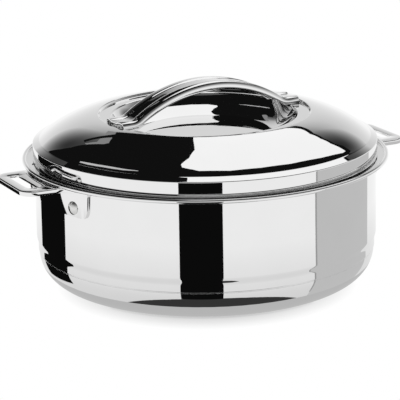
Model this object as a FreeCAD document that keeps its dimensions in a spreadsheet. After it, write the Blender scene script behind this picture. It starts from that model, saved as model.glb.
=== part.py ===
import FreeCAD, Part
import os
import re

import Sketcher

# Driving dimensions, in millimetres and degrees
SIZES = {
    # Skins of the pot and the lid
    "sheet": 0.8,
    "foam_gap": 0.3,
    "foam_room": 2,
    # Pot wall, rim and bowl
    "body_dia": 280,
    "rim_overhang": 10,
    "bead_dia": 3.6,
    "bead_rise": 0.6,
    "ledge_height": 101.4,
    "wall_gap": 14,
    "mouth_round": 3,
    "floor_height": 18,
    "bowl_corner": 22,
    # Base pan and the seam above it
    "seam_height": 26,
    "seam_gap": 0.8,
    "neck_height": 7,
    "toe_in": 1.2,
    "toe_height": 4,
    "base_inset": 0.6,
    "base_corner": 25,
    "foot_width": 14,
    "panel_rise": 1.6,
    # Fill plugs
    "plug_dia": 16,
    "plug_lap": 2.5,
    "plug_head": 1.2,
    "plug_collar": 2,
    # Side handles
    "grip_sheet": 2,
    "grip_overhang": 34,
    "grip_width": 66,
    "grip_corner": 12,
    "grip_flare": 12,
    "lip_depth": 4,
    "slot_inset": 12.5,
    "slot_length": 42,
    "slot_width": 9.5,
    "slot_corner": 2.5,
    "flange_angle": 45.8,
    "flange_drop": 22.5,
    "flange_corner": 12,
    # Rivets of the side handles
    "rivet_angle": 16.3,
    "rivet_drop": 15.6,
    "rivet_dia": 4.8,
    "rivet_head_dia": 10.8,
    "rivet_head": 2.6,
    "rivet_tail_dia": 7,
    "rivet_tail": 2,
    "rivet_washer_dia": 11,
    "rivet_washer": 1,
    # Lid shell
    "lid_overhang": 1,
    "seal_height": 1.2,
    "seal_inset": 1.4,
    "seal_width": 8,
    "band_height": 12.7,
    "shoulder_width": 5.5,
    "shoulder_rise": 2.6,
    "dome_radius": 91,
    "dome_rise": 19.8,
    "recess_dia": 174,
    "recess_slope": 1.4,
    "recess_drop": 2.2,
    "ring_width": 9.6,
    "dish_depth": 14.8,
    "dish_floor_dia": 98,
    # Lid pan
    "pan_clearance": 1.5,
    "pan_depth": 9,
    "pan_corner": 4,
    "skirt_height": 8,
    # Rivets of the lid band
    "band_rivet_angle": 19.3,
    "band_rivet_height": 4.9,
    "band_rivet_dia": 3,
    "band_rivet_head_dia": 5,
    "band_rivet_head": 1.4,
    # Strap handle of the lid, and how far the lid is turned from the line of the side handles
    "lid_angle": 4.7,
    "strap_sheet": 1.8,
    "strap_width": 28,
    "strap_side": 6.9,
    "strap_round": 4,
    "channel_width": 12,
    "channel_wall": 1.8,
    "channel_depth": 0.9,
    "arch_angle": 34,
    "foot_bend": 14,
    "foot_length": 15,
    "pad_length": 10.1,
    "pad_rise": 5.6,
    "pad_gap": 0.6,
    # Studs, washers and nuts under the strap handle
    "stud_dia": 3,
    "stud_length": 10.2,
    "stud_angle": 6,
    "nut_flats": 5.5,
    "nut_height": 2.4,
    "stud_washer_dia": 7,
    "stud_washer": 0.8,
}

# Radii and heights worked out from the driving dimensions
WALL = "(body_dia / 2)"
BOWL = "(body_dia / 2 - 2 * sheet - wall_gap)"
TOE = "(body_dia / 2 - toe_in)"
BASE = f"({TOE} - base_inset)"
BASE_FLAT = f"({BASE} - base_corner)"
PANEL = f"({BASE_FLAT} - foot_width)"
PANEL_TOP = "(panel_rise + sheet)"
SEAM_LOW = "(seam_height - seam_gap / 2)"
SEAM_HIGH = "(seam_height + seam_gap / 2)"
NECK_TOP = f"({SEAM_HIGH} + neck_height)"
WALL_START = f"({NECK_TOP} + toe_height)"
BEAD = f"({WALL} + rim_overhang - bead_dia / 2)"
FLANGE_EDGE = f"({BEAD} - bead_dia / 2)"
UNDER_LEDGE = "(ledge_height - sheet)"
PLUG = "(plug_dia / 2)"

PLATE_TOP = "(ledge_height - 2 * sheet)"
FLANGE_LOW = f"({PLATE_TOP} - flange_drop)"
RIVET_HEIGHT = f"({PLATE_TOP} - rivet_drop)"
FLANGE_OUT = f"({WALL} + grip_sheet)"
GRIP = f"({WALL} + grip_overhang)"
SLOT = f"({GRIP} - slot_inset)"
RIVET_SEAT = f"sqrt(({WALL} - sheet)^2 - (rivet_washer_dia / 2)^2)"
RIVET_BORE = f"({FLANGE_OUT} - {BOWL} + grip_sheet)"

LID = f"({WALL} + lid_overhang)"
LID_LOW = "(ledge_height + seal_height)"
BAND_TOP = f"({LID_LOW} + band_height)"
SHOULDER = f"({LID} - shoulder_width)"
SHOULDER_TOP = f"({BAND_TOP} + shoulder_rise)"
RECESS = "(recess_dia / 2)"
DOME_TOP = f"({SHOULDER_TOP} + dome_rise)"
RING = f"({RECESS} - recess_slope)"
RING_TOP = f"({DOME_TOP} - recess_drop)"
DISH = f"({RING} - ring_width)"
DISH_FLOOR = "(dish_floor_dia / 2)"
DISH_ROUND = f"((({DISH} - {DISH_FLOOR})^2 + dish_depth^2) / (2 * dish_depth))"
PAN = f"({BOWL} - pan_clearance)"
PAN_LOW = f"({LID_LOW} - pan_depth)"
BAND_RIVET_HEIGHT = f"({LID_LOW} + band_rivet_height)"
BAND_RIVET_SEAT = f"sqrt(({LID} - 2 * sheet)^2 - (band_rivet_head_dia / 2)^2)"
BAND_RIVET_BORE = f"({LID} - {PAN} + sheet)"

STUDS = f"({RING} - ring_width / 2)"
PAD_END = f"({RING} - pad_gap)"
PAD_START = f"({PAD_END} - pad_length)"
PAD_TOP = f"({RING_TOP} + pad_rise)"
STUD_TOP = f"({PAD_TOP} - strap_sheet)"
FOOT = f"({PAD_START} - foot_bend * sin(arch_angle))"
FOOT_TOP = f"({PAD_TOP} + foot_bend * (1 - cos(arch_angle)))"
ARCH = f"({FOOT} / sin(arch_angle))"
STRAP_TOP = f"({FOOT_TOP} + {ARCH} * (1 - cos(arch_angle)))"
BELLY_REACH = f"({PAD_END} - foot_length)"
BELLY_RISE = f"({STRAP_TOP} - strap_side - {RING_TOP})"
BELLY = f"(({BELLY_REACH}^2 + {BELLY_RISE}^2) / (2 * {BELLY_RISE}))"

HANDLE_SIDES = {"left": "180", "right": "0"}

# Points nearer than this are one place
TOUCH = 0.01

doc = FreeCAD.newDocument("serving_pot")
sizes = doc.addObject("Spreadsheet::Sheet", "Sizes")
for row, (name, size) in enumerate(SIZES.items(), start=1):
    sizes.set(f"A{row}", name)
    sizes.set(f"B{row}", str(size))
    sizes.setAlias(f"B{row}", name)
doc.recompute()


def bound(text):
    """The expression, with every size name pointing at its cell."""
    return re.sub(r"\b[a-z]\w*\b", lambda word: f"Sizes.{word[0]}" if word[0] in SIZES else word[0], text)


def number(text):
    """What an expression comes to with the sheet's present values."""
    return float(sizes.evalExpression(bound(text)))


def bind(sketch, constraint, text):
    """Adds a constraint whose value follows an expression."""
    index = sketch.addConstraint(constraint)
    sketch.setExpression(f"Constraints[{index}]", bound(text))


def pin(sketch, edge, end, x, y):
    """Holds one point of a sketch edge at (x, y)."""
    for kind, axis, text in (("DistanceX", -2, x), ("DistanceY", -1, y)):
        if text == "0":
            sketch.addConstraint(Sketcher.Constraint("PointOnObject", edge, end, axis))
        else:
            bind(sketch, Sketcher.Constraint(kind, -1, 1, edge, end, number(text)), text)


def arc_between(start, end, radius, side):
    """The shorter arc from start to end, with its centre on the left or the right of the way there."""
    way = end - start
    left = FreeCAD.Vector(-way.y, way.x, 0).normalize()
    height = max(radius**2 - way.Length**2 / 4, 0) ** 0.5
    centre = (start + end) / 2 + left * (height if side == "left" else -height)
    first, last = (start, end) if side == "left" else (end, start)
    angles = [FreeCAD.Vector(1, 0, 0).getAngle(point - centre) for point in (first, last)]
    turns = [angle if (point - centre).y >= 0 else -angle for angle, point in zip(angles, (first, last))]
    return Part.ArcOfCircle(Part.Circle(centre, FreeCAD.Vector(0, 0, 1), radius), *turns)


def outline(sketch, corners, closed=True):
    """Draws edges through the corners. A corner is (x, y), or (x, y, radius, side) where an arc starts."""
    points = [FreeCAD.Vector(number(corner[0]), number(corner[1]), 0) for corner in corners]
    edges = len(corners) if closed else len(corners) - 1
    ends = []
    for place in range(edges):
        corner, start, end = corners[place], points[place], points[(place + 1) % len(points)]
        if len(corner) == 2:
            edge = sketch.addGeometry(Part.LineSegment(start, end))
            ends.append((edge, 1, 2))
        else:
            radius, side = corner[2:]
            edge = sketch.addGeometry(arc_between(start, end, number(radius), side))
            ends.append((edge, 1, 2) if side == "left" else (edge, 2, 1))
    for place, (edge, first, last) in enumerate(ends):
        pin(sketch, edge, first, *corners[place][:2])
        if closed or place + 1 < edges:
            following, following_first, _ = ends[(place + 1) % edges]
            sketch.addConstraint(Sketcher.Constraint("Coincident", edge, last, following, following_first))
        else:
            pin(sketch, edge, last, *corners[-1][:2])
        if len(corners[place]) > 2:
            radius = corners[place][2]
            bind(sketch, Sketcher.Constraint("Radius", edge, number(radius)), radius)


def circle(sketch, x, y, diameter):
    """Draws one circle."""
    centre = FreeCAD.Vector(number(x), number(y), 0)
    edge = sketch.addGeometry(Part.Circle(centre, FreeCAD.Vector(0, 0, 1), number(diameter) / 2))
    pin(sketch, edge, 3, x, y)
    bind(sketch, Sketcher.Constraint("Diameter", edge, number(diameter)), diameter)


def new_body(label):
    """An empty body."""
    return doc.addObject("PartDesign::Body", label)


def new_sketch(body, role, height="0"):
    """A sketch on one of the body's own planes, raised along the plane's normal."""
    sketch = body.newObject("Sketcher::SketchObject", "Outline")
    sketch.AttachmentSupport = (next(p for p in body.Origin.OriginFeatures if p.Role == role), "")
    sketch.MapMode = "FlatFace"
    sketch.setExpression("AttachmentOffset.Base.z", bound(height))
    return sketch


def turn(body, sketch, angle="360"):
    """Turns an upright sketch about the pot's axis, evenly to both sides of its plane."""
    feature = body.newObject("PartDesign::Revolution", "Turn")
    feature.Profile = sketch
    feature.ReferenceAxis = (sketch, ["V_Axis"])
    feature.Midplane = True
    feature.setExpression("Angle", bound(angle))
    return feature


def turned(label, corners):
    """A body with one turned outline, given as radius and height."""
    body = new_body(label)
    sketch = new_sketch(body, "XZ_Plane")
    outline(sketch, corners)
    turn(body, sketch)
    return body


def pad(body, sketch, depth):
    """Thickens a flat sketch along its normal."""
    feature = body.newObject("PartDesign::Pad", "Pad")
    feature.Profile = sketch
    feature.setExpression("Length", bound(depth))
    return feature


def pocket(body, sketch):
    """Cuts a flat sketch through everything below it."""
    feature = body.newObject("PartDesign::Pocket", "Pocket")
    feature.Profile = sketch
    feature.Type = "ThroughAll"
    return feature


def spoke(reach, angle, height):
    """A place on a spoke of the pot, with its own Z pointing outward."""
    return f"create(<<placement>>; create(<<vector>>; ({reach}) * cos({angle}); ({reach}) * sin({angle}); " \
           f"{height}); create(<<rotation>>; {angle}; 90; 0))"


def upright(reach, angle, height):
    """A place on a spoke of the pot, with its own Z pointing up."""
    return f"create(<<placement>>; create(<<vector>>; ({reach}) * cos({angle}); ({reach}) * sin({angle}); " \
           f"{height}); create(<<rotation>>; {angle}; 0; 0))"


def drill(body, place, diameter, depth):
    """Takes a round hole out of a body, from the place along its Z."""
    hole = body.newObject("PartDesign::SubtractiveCylinder", "Drill")
    hole.setExpression("Radius", bound(f"({diameter}) / 2"))
    hole.setExpression("Height", bound(depth))
    hole.setExpression("Placement", bound(place))
    return hole


def round_corners(body, radius, sheet, wanted):
    """Rounds the edges across a body's sheet whose two ends pass the test."""
    doc.recompute()
    tip = body.Tip
    across = number(sheet)
    picked = []
    for place, edge in enumerate(tip.Shape.Edges, start=1):
        if abs(edge.Length - across) < TOUCH and all(wanted(point) for point in edge.Vertexes):
            picked.append(f"Edge{place}")
    feature = body.newObject("PartDesign::Fillet", "Corners")
    feature.Base = (tip, picked)
    feature.setExpression("Radius", bound(radius))
    return feature


def group(label, pieces):
    """One node of separate like pieces."""
    node = doc.addObject("Part::Compound", label)
    node.Links = pieces
    return node


def turned_pieces(label, corners, places):
    """Separate pieces of one turned shape, given as radius and length along each place's Z."""
    sketch = doc.addObject("Sketcher::SketchObject", "Profile")
    sketch.Placement = FreeCAD.Placement(FreeCAD.Vector(), FreeCAD.Rotation(FreeCAD.Vector(1, 0, 0), 90))
    outline(sketch, corners)
    pieces = []
    for place in places:
        piece = doc.addObject("Part::Revolution", "Piece")
        piece.Source = sketch
        piece.Axis = FreeCAD.Vector(0, 0, 1)
        piece.Angle = 360
        piece.Solid = True
        piece.setExpression("Placement", bound(place))
        pieces.append(piece)
    return group(label, pieces)


def washers(label, bore, diameter, thickness, places):
    """Flat rings that lie on their places."""
    inside = f"{bore} / 2"
    outside = f"{diameter} / 2"
    ring = [(inside, "0"), (outside, "0"), (outside, thickness), (inside, thickness)]
    return turned_pieces(label, ring, places)


def fill_plug(label, panel_low):
    """A snap plug: head below the panel, shank in its hole, collar above it."""
    lap = f"({PLUG} + plug_lap)"
    bead = f"({PLUG} + plug_lap / 2)"
    panel_high = f"({panel_low} + sheet)"
    return turned(label, [
        ("0", f"{panel_low} - plug_head"),
        (lap, f"{panel_low} - plug_head"),
        (lap, panel_low),
        (PLUG, panel_low),
        (PLUG, panel_high),
        (bead, panel_high),
        (PLUG, f"{panel_high} + plug_collar"),
        ("0", f"{panel_high} + plug_collar"),
    ])


def outer_shell():
    """The pot's outer wall, stepped in at the toe and turned out under the rim ledge."""
    shell = turned("outer_shell", [
        (TOE, SEAM_HIGH),
        (TOE, NECK_TOP),
        (WALL, WALL_START),
        (WALL, PLATE_TOP),
        (FLANGE_EDGE, PLATE_TOP),
        (FLANGE_EDGE, UNDER_LEDGE),
        (f"{WALL} - sheet", UNDER_LEDGE),
        (f"{WALL} - sheet", WALL_START),
        (f"{TOE} - sheet", NECK_TOP),
        (f"{TOE} - sheet", SEAM_HIGH),
    ])
    for angle in all_rivet_angles():
        drill(shell, spoke(BOWL, angle, RIVET_HEIGHT), "rivet_dia", RIVET_BORE)
    return shell


def base_pan():
    """The bottom: a raised panel, a ring foot, a round corner and a neck that laps inside the wall."""
    return turned("base_pan", [
        (PLUG, "panel_rise"),
        (PANEL, "panel_rise"),
        (f"{PANEL} + panel_rise", "0"),
        (BASE_FLAT, "0", "base_corner", "left"),
        (BASE, "base_corner"),
        (BASE, SEAM_LOW),
        (f"{TOE} - sheet", SEAM_LOW),
        (f"{TOE} - sheet", NECK_TOP),
        (f"{TOE} - 2 * sheet", NECK_TOP),
        (f"{TOE} - 2 * sheet", SEAM_LOW),
        (f"{BASE} - sheet", "base_corner", "base_corner - sheet", "right"),
        (BASE_FLAT, "sheet"),
        (f"{PANEL} + panel_rise", "sheet"),
        (PANEL, PANEL_TOP),
        (PLUG, PANEL_TOP),
    ])


def inner_liner():
    """The bowl, its wide rim ledge and the rolled bead round the ledge."""
    liner = turned("inner_liner", [
        ("0", "floor_height - sheet"),
        (f"{BOWL} - bowl_corner", "floor_height - sheet", "bowl_corner + sheet", "left"),
        (f"{BOWL} + sheet", "floor_height + bowl_corner"),
        (f"{BOWL} + sheet", "ledge_height - mouth_round", "mouth_round - sheet", "right"),
        (f"{BOWL} + mouth_round", UNDER_LEDGE),
        (BEAD, UNDER_LEDGE),
        (BEAD, "ledge_height"),
        (f"{BOWL} + mouth_round", "ledge_height", "mouth_round", "left"),
        (BOWL, "ledge_height - mouth_round"),
        (BOWL, "floor_height + bowl_corner", "bowl_corner", "right"),
        (f"{BOWL} - bowl_corner", "floor_height"),
        ("0", "floor_height"),
    ])
    bead = new_sketch(liner, "XZ_Plane")
    circle(bead, BEAD, "ledge_height + bead_rise", "bead_dia")
    turn(liner, bead)
    return liner


def body_insulation():
    """Foam between the two skins, with room for the plug and the rivet tails."""
    outside = f"({WALL} - sheet - foam_gap)"
    inside = f"({BOWL} + sheet + foam_gap)"
    plug_room = f"({PLUG} + plug_lap)"
    foam = turned("body_insulation", [
        ("0", f"{PANEL_TOP} + plug_collar + foam_gap"),
        (plug_room, f"{PANEL_TOP} + plug_collar + foam_gap"),
        (plug_room, PANEL_TOP),
        (BASE_FLAT, PANEL_TOP, f"base_corner - {PANEL_TOP}", "left"),
        (f"{BASE} - {PANEL_TOP}", "base_corner"),
        (f"{BASE} - {PANEL_TOP}", WALL_START),
        (outside, WALL_START),
        (outside, UNDER_LEDGE),
        (f"{BOWL} + 2 * mouth_round", UNDER_LEDGE),
        (inside, "ledge_height - 2 * mouth_round"),
        (inside, "floor_height + bowl_corner", "bowl_corner + sheet + foam_gap", "right"),
        (f"{BOWL} - bowl_corner", "floor_height - sheet"),
        ("0", "floor_height - sheet"),
    ])
    room = "(rivet_washer + rivet_tail + foam_room)"
    for angle in all_rivet_angles():
        place = spoke(f"{RIVET_SEAT} - {room}", angle, RIVET_HEIGHT)
        drill(foam, place, "rivet_washer_dia + foam_room", f"2 * {room}")
    return foam


def rivet_angles(side):
    """Where the two rivets of one side handle stand round the pot."""
    return [f"({HANDLE_SIDES[side]} + {sign}rivet_angle)" for sign in ("", "-")]


def all_rivet_angles():
    """Where every side handle rivet stands round the pot."""
    return [angle for side in HANDLE_SIDES for angle in rivet_angles(side)]


def grip_edge(inset):
    """Half the free edge of a side handle, from the flange to the outer edge, drawn in by inset."""
    half = f"(grip_width / 2 - {inset})"
    spread = f"({FLANGE_OUT} + grip_flare)"
    bend_side = "(grip_width / 2 + grip_flare)"
    bend = f"sqrt({spread}^2 - {bend_side}^2)"
    root = f"(({FLANGE_OUT} - {inset}) / {spread})"
    outer = f"({GRIP} - {inset})"
    return [
        (f"{root} * {bend}", f"{root} * {bend_side}", f"grip_flare + {inset}", "left"),
        (bend, half),
        (f"{GRIP} - grip_corner", half, f"grip_corner - {inset}", "right"),
        (outer, "grip_width / 2 - grip_corner"),
    ]


def mirrored(corners, axis):
    """The same corners with one coordinate negated, walked the other way."""
    arcs = [corner[2:] for corner in corners]
    back = []
    for place in reversed(range(len(corners))):
        point = list(corners[place][:2])
        point[axis] = f"-({point[axis]})"
        back.append(tuple(point) + (arcs[place - 1] if place else ()))
    return back


def backward(corners):
    """The same corners walked the other way."""
    turned_side = {"left": "right", "right": "left"}
    back = []
    for place in reversed(range(len(corners))):
        before = corners[place - 1] if place else ()
        arc = (before[2], turned_side[before[3]]) if len(before) > 2 else ()
        back.append(corners[place][:2] + arc)
    return back


def side_handle(side):
    """A pressed handle: flange on the wall, flat plate with a finger slot, and a turned-down free edge."""
    handle = new_body(f"{side}_side_handle")
    flange = new_sketch(handle, "XZ_Plane")
    outline(flange, [
        (WALL, FLANGE_LOW),
        (FLANGE_OUT, FLANGE_LOW),
        (FLANGE_OUT, PLATE_TOP),
        (WALL, PLATE_TOP),
    ])
    turn(handle, flange, "flange_angle")

    outer = grip_edge("0")
    outer += mirrored(outer, 1)
    inner = grip_edge("grip_sheet")
    inner += mirrored(inner, 1)

    plate = new_sketch(handle, "XY_Plane", f"{PLATE_TOP} - grip_sheet")
    outline(plate, outer + [inner[-1] + (WALL, "left"), inner[0][:2]])
    pad(handle, plate, "grip_sheet")

    lip = new_sketch(handle, "XY_Plane", f"{PLATE_TOP} - lip_depth")
    outline(lip, outer + backward(inner))
    pad(handle, lip, "lip_depth")

    slot = new_sketch(handle, "XY_Plane", PLATE_TOP)
    near, far = f"({SLOT} - slot_width / 2)", f"({SLOT} + slot_width / 2)"
    end = "(slot_length / 2)"
    outline(slot, [
        (f"{near} + slot_corner", f"-{end}"),
        (f"{far} - slot_corner", f"-{end}", "slot_corner", "left"),
        (far, f"-({end} - slot_corner)"),
        (far, f"{end} - slot_corner", "slot_corner", "left"),
        (f"{far} - slot_corner", end),
        (f"{near} + slot_corner", end, "slot_corner", "left"),
        (near, f"{end} - slot_corner"),
        (near, f"-({end} - slot_corner)", "slot_corner", "left"),
    ])
    pocket(handle, slot)

    for angle in rivet_angles("right"):
        drill(handle, spoke(BOWL, angle, RIVET_HEIGHT), "rivet_dia", RIVET_BORE)
    low = number(FLANGE_LOW)
    round_corners(handle, "flange_corner", "grip_sheet", lambda point: abs(point.Z - low) < TOUCH)
    handle.setExpression("Placement", bound(upright("0", HANDLE_SIDES[side], "0")))
    return handle


def side_rivets(side):
    """Two rivets: domed head outside, shank through flange and wall, formed tail inside."""
    head = f"({FLANGE_OUT} - {RIVET_SEAT})"
    return turned_pieces(f"{side}_handle_rivets", [
        ("0", "-(rivet_washer + rivet_tail)"),
        ("rivet_tail_dia / 2", "-(rivet_washer + rivet_tail)"),
        ("rivet_tail_dia / 2", "-rivet_washer"),
        ("rivet_dia / 2", "-rivet_washer"),
        ("rivet_dia / 2", head),
        ("rivet_head_dia / 2", head, "((rivet_head_dia / 2)^2 + rivet_head^2) / (2 * rivet_head)", "left"),
        ("0", f"{head} + rivet_head"),
    ], [spoke(RIVET_SEAT, angle, RIVET_HEIGHT) for angle in rivet_angles(side)])


def side_washers(side):
    """A washer under each rivet tail, against the inside of the wall."""
    places = [spoke(f"{RIVET_SEAT} - rivet_washer", angle, RIVET_HEIGHT) for angle in rivet_angles(side)]
    return washers(f"{side}_rivet_washers", "rivet_dia", "rivet_washer_dia", "rivet_washer", places)


def dish_edge(drop):
    """Where the dish's round wall meets the flat ring, on a face that lies drop below the top one."""
    across = f"sqrt(({DISH_ROUND} + {drop})^2 - ({DISH_ROUND} - dish_depth + {drop})^2)"
    return f"({DISH_FLOOR} + {across})"


def lid_skin(drop):
    """The lid's top from the shoulder to the axis, lowered by drop."""
    return [
        (SHOULDER, f"{SHOULDER_TOP} - {drop}", "dome_radius", "left"),
        (RECESS, f"{DOME_TOP} - {drop}"),
        (RING, f"{RING_TOP} - {drop}"),
        (dish_edge(drop), f"{RING_TOP} - {drop}", f"{DISH_ROUND} + {drop}", "right"),
        (DISH_FLOOR, f"{RING_TOP} - dish_depth - {drop}"),
        ("0", f"{RING_TOP} - dish_depth - {drop}"),
    ]


def stud_angles():
    """Where the strap handle's studs stand round the lid."""
    return [f"({side} + lid_angle + {sign}stud_angle)" for side in HANDLE_SIDES.values() for sign in ("", "-")]


def band_rivet_places(reach):
    """Two places opposite each other on the lid band."""
    return [spoke(reach, f"({side} + band_rivet_angle)", BAND_RIVET_HEIGHT) for side in HANDLE_SIDES.values()]


def lid_shell():
    """The lid's outer skin: band, shoulder, dome, and a recess with a flat ring and a dished middle."""
    shell = turned("lid_shell", [
        (f"{LID} - sheet", LID_LOW),
        (LID, LID_LOW),
        (LID, BAND_TOP),
        *lid_skin("0"),
        *backward(lid_skin("sheet")),
        (f"{LID} - sheet", f"{BAND_TOP} - sheet"),
    ])
    for angle in stud_angles():
        drill(shell, upright(STUDS, angle, f"{RING_TOP} - stud_length"), "stud_dia", "2 * stud_length")
    for place in band_rivet_places(PAN):
        drill(shell, place, "band_rivet_dia", BAND_RIVET_BORE)
    return shell


def lid_pan():
    """The lid's inner skin: a shallow tub in the bowl's mouth, a flat ring and a skirt inside the band."""
    pan = turned("lid_pan", [
        (PLUG, PAN_LOW),
        (f"{PAN} - pan_corner", PAN_LOW, "pan_corner", "left"),
        (PAN, f"{PAN_LOW} + pan_corner"),
        (PAN, LID_LOW),
        (f"{LID} - sheet", LID_LOW),
        (f"{LID} - sheet", f"{LID_LOW} + skirt_height"),
        (f"{LID} - 2 * sheet", f"{LID_LOW} + skirt_height"),
        (f"{LID} - 2 * sheet", f"{LID_LOW} + sheet"),
        (f"{PAN} - sheet", f"{LID_LOW} + sheet"),
        (f"{PAN} - sheet", f"{PAN_LOW} + pan_corner", "pan_corner - sheet", "right"),
        (f"{PAN} - pan_corner", f"{PAN_LOW} + sheet"),
        (PLUG, f"{PAN_LOW} + sheet"),
    ])
    for place in band_rivet_places(PAN):
        drill(pan, place, "band_rivet_dia", BAND_RIVET_BORE)
    return pan


def lid_insulation():
    """Foam between the lid's skins, with room for the plug, the nuts and the rivet tails."""
    floor = f"({PAN_LOW} + sheet)"
    plug_room = f"({PLUG} + plug_lap)"
    edge = f"({LID} - 2 * sheet - foam_gap)"
    foam = turned("lid_insulation", [
        ("0", f"{floor} + plug_collar + foam_gap"),
        (plug_room, f"{floor} + plug_collar + foam_gap"),
        (plug_room, floor),
        (f"{PAN} - 2 * pan_corner", floor),
        (f"{PAN} - sheet - foam_gap", f"{floor} + 2 * pan_corner"),
        (f"{PAN} - sheet - foam_gap", f"{LID_LOW} + sheet"),
        (edge, f"{LID_LOW} + sheet"),
        (edge, f"{BAND_TOP} - sheet - foam_gap"),
        *lid_skin("(sheet + foam_gap)"),
    ])
    room = "(stud_length + foam_room)"
    for angle in stud_angles():
        drill(foam, upright(STUDS, angle, f"{RING_TOP} - {room}"), "stud_washer_dia + foam_room", room)
    room = "(band_rivet_head + foam_room)"
    for place in band_rivet_places(f"{BAND_RIVET_SEAT} - {room}"):
        drill(foam, place, "band_rivet_head_dia + foam_room", f"2 * {room}")
    return foam


def lid_seal():
    """A flat ring under the lid that rests on the rim ledge."""
    outside = f"({LID} - seal_inset)"
    return turned("lid_seal", [
        (f"{outside} - seal_width", "ledge_height"),
        (outside, "ledge_height"),
        (outside, LID_LOW),
        (f"{outside} - seal_width", LID_LOW),
    ])


def lid_band_rivets():
    """Rivets that hold the pan's skirt to the band."""
    head = f"({LID} - {BAND_RIVET_SEAT})"
    dome = "((band_rivet_head_dia / 2)^2 + band_rivet_head^2) / (2 * band_rivet_head)"
    return turned_pieces("lid_band_rivets", [
        ("0", "-band_rivet_head"),
        ("band_rivet_head_dia / 2", "-band_rivet_head"),
        ("band_rivet_head_dia / 2", "0"),
        ("band_rivet_dia / 2", "0"),
        ("band_rivet_dia / 2", head),
        ("band_rivet_head_dia / 2", head, dome, "left"),
        ("0", f"{head} + band_rivet_head"),
    ], band_rivet_places(BAND_RIVET_SEAT))


def lid_handle():
    """A pressed strap: an arch with turned-down sides, a channel along it and a raised pad at each foot."""
    handle = new_body("lid_handle")
    path = new_sketch(handle, "XZ_Plane")
    outline(path, [
        ("0", STRAP_TOP, ARCH, "right"),
        (FOOT, FOOT_TOP, "foot_bend", "left"),
        (PAD_START, PAD_TOP),
        (RECESS, PAD_TOP),
    ], closed=False)

    half = "(strap_width / 2)"
    flat = f"({half} - strap_round)"
    bend_low = f"({STRAP_TOP} - strap_round)"
    low = f"({STRAP_TOP} - strap_side - strap_sheet)"
    channel = "(channel_width / 2)"
    channel_floor = f"({channel} - channel_wall)"
    above = [
        (half, low),
        (half, bend_low, "strap_round", "left"),
        (flat, STRAP_TOP),
        (channel, STRAP_TOP),
        (channel_floor, f"{STRAP_TOP} - channel_depth"),
    ]
    below = [
        (f"{half} - strap_sheet", low),
        (f"{half} - strap_sheet", bend_low, "strap_round - strap_sheet", "left"),
        (flat, f"{STRAP_TOP} - strap_sheet"),
        (channel, f"{STRAP_TOP} - strap_sheet"),
        (channel_floor, f"{STRAP_TOP} - channel_depth - strap_sheet"),
    ]
    section = new_sketch(handle, "YZ_Plane")
    outline(section, above + mirrored(above, 0) + backward(below + mirrored(below, 0)))
    doc.recompute()
    arch = handle.newObject("PartDesign::AdditivePipe", "Arch")
    arch.Profile = section
    arch.Spine = (path, [f"Edge{place + 1}" for place in range(path.GeometryCount)])
    mirror = handle.newObject("PartDesign::Mirrored", "Mirror")
    mirror.Originals = [arch]
    mirror.MirrorPlane = (next(p for p in handle.Origin.OriginFeatures if p.Role == "YZ_Plane"), [""])
    handle.Tip = mirror
    doc.recompute()

    seat = new_sketch(handle, "XY_Plane", RING_TOP)
    circle(seat, "0", "0", f"2 * ({RECESS} + strap_width)")
    pocket(handle, seat)
    ends = new_sketch(handle, "XY_Plane", STRAP_TOP)
    circle(ends, "0", "0", f"2 * {PAD_END}")
    circle(ends, "0", "0", f"2 * ({RECESS} + strap_width)")
    pocket(handle, ends)
    belly_low = f"({RING_TOP} + {BELLY_RISE} - {BELLY})"
    belly_start = f"create(<<vector>>; 0; -strap_width; {belly_low})"
    belly = f"create(<<placement>>; {belly_start}; create(<<rotation>>; 0; 0; -90))"
    drill(handle, belly, f"2 * {BELLY}", "2 * strap_width")
    handle.setExpression("Placement", bound(upright("0", "lid_angle", "0")))
    return handle


def lid_handle_studs():
    """Studs welded under the handle's pads, through the ring."""
    studs = []
    for angle in stud_angles():
        stud = doc.addObject("Part::Cylinder", "Stud")
        stud.setExpression("Radius", bound("stud_dia / 2"))
        stud.setExpression("Height", bound("stud_length"))
        stud.setExpression("Placement", bound(upright(STUDS, angle, f"{STUD_TOP} - stud_length")))
        studs.append(stud)
    return group("lid_handle_studs", studs)


def lid_handle_washers():
    """A washer on each stud, under the ring."""
    places = [upright(STUDS, angle, f"{RING_TOP} - sheet - stud_washer") for angle in stud_angles()]
    return washers("lid_handle_washers", "stud_dia", "stud_washer_dia", "stud_washer", places)


def lid_handle_nuts():
    """A hexagon nut on each stud."""
    nuts = []
    for angle in stud_angles():
        place = bound(upright(STUDS, angle, f"{RING_TOP} - sheet - stud_washer - nut_height"))
        block = doc.addObject("Part::Prism", "Hexagon")
        block.Polygon = 6
        block.setExpression("Circumradius", bound("nut_flats / sqrt(3)"))
        block.setExpression("Height", bound("nut_height"))
        block.setExpression("Placement", place)
        bore = doc.addObject("Part::Cylinder", "Bore")
        bore.setExpression("Radius", bound("stud_dia / 2"))
        bore.setExpression("Height", bound("nut_height"))
        bore.setExpression("Placement", place)
        nut = doc.addObject("Part::Cut", "Nut")
        nut.Base = block
        nut.Tool = bore
        nuts.append(nut)
    return group("lid_handle_nuts", nuts)


nodes = [outer_shell(), base_pan(), inner_liner(), body_insulation(), fill_plug("base_plug", "panel_rise")]
for handle_side in HANDLE_SIDES:
    nodes += [side_handle(handle_side), side_rivets(handle_side), side_washers(handle_side)]
nodes += [lid_shell(), lid_pan(), lid_insulation(), lid_seal(), lid_band_rivets()]
nodes += [fill_plug("lid_plug", PAN_LOW), lid_handle()]
nodes += [lid_handle_studs(), lid_handle_washers(), lid_handle_nuts()]
doc.recompute()

failed = [item.Name for item in doc.Objects if {"Invalid", "Error"} & set(item.State)]
failed += [node.Label for node in nodes if node.Shape.isNull() or not node.Shape.isValid()]
if failed:
    raise RuntimeError("not built: " + ", ".join(failed))

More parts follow.
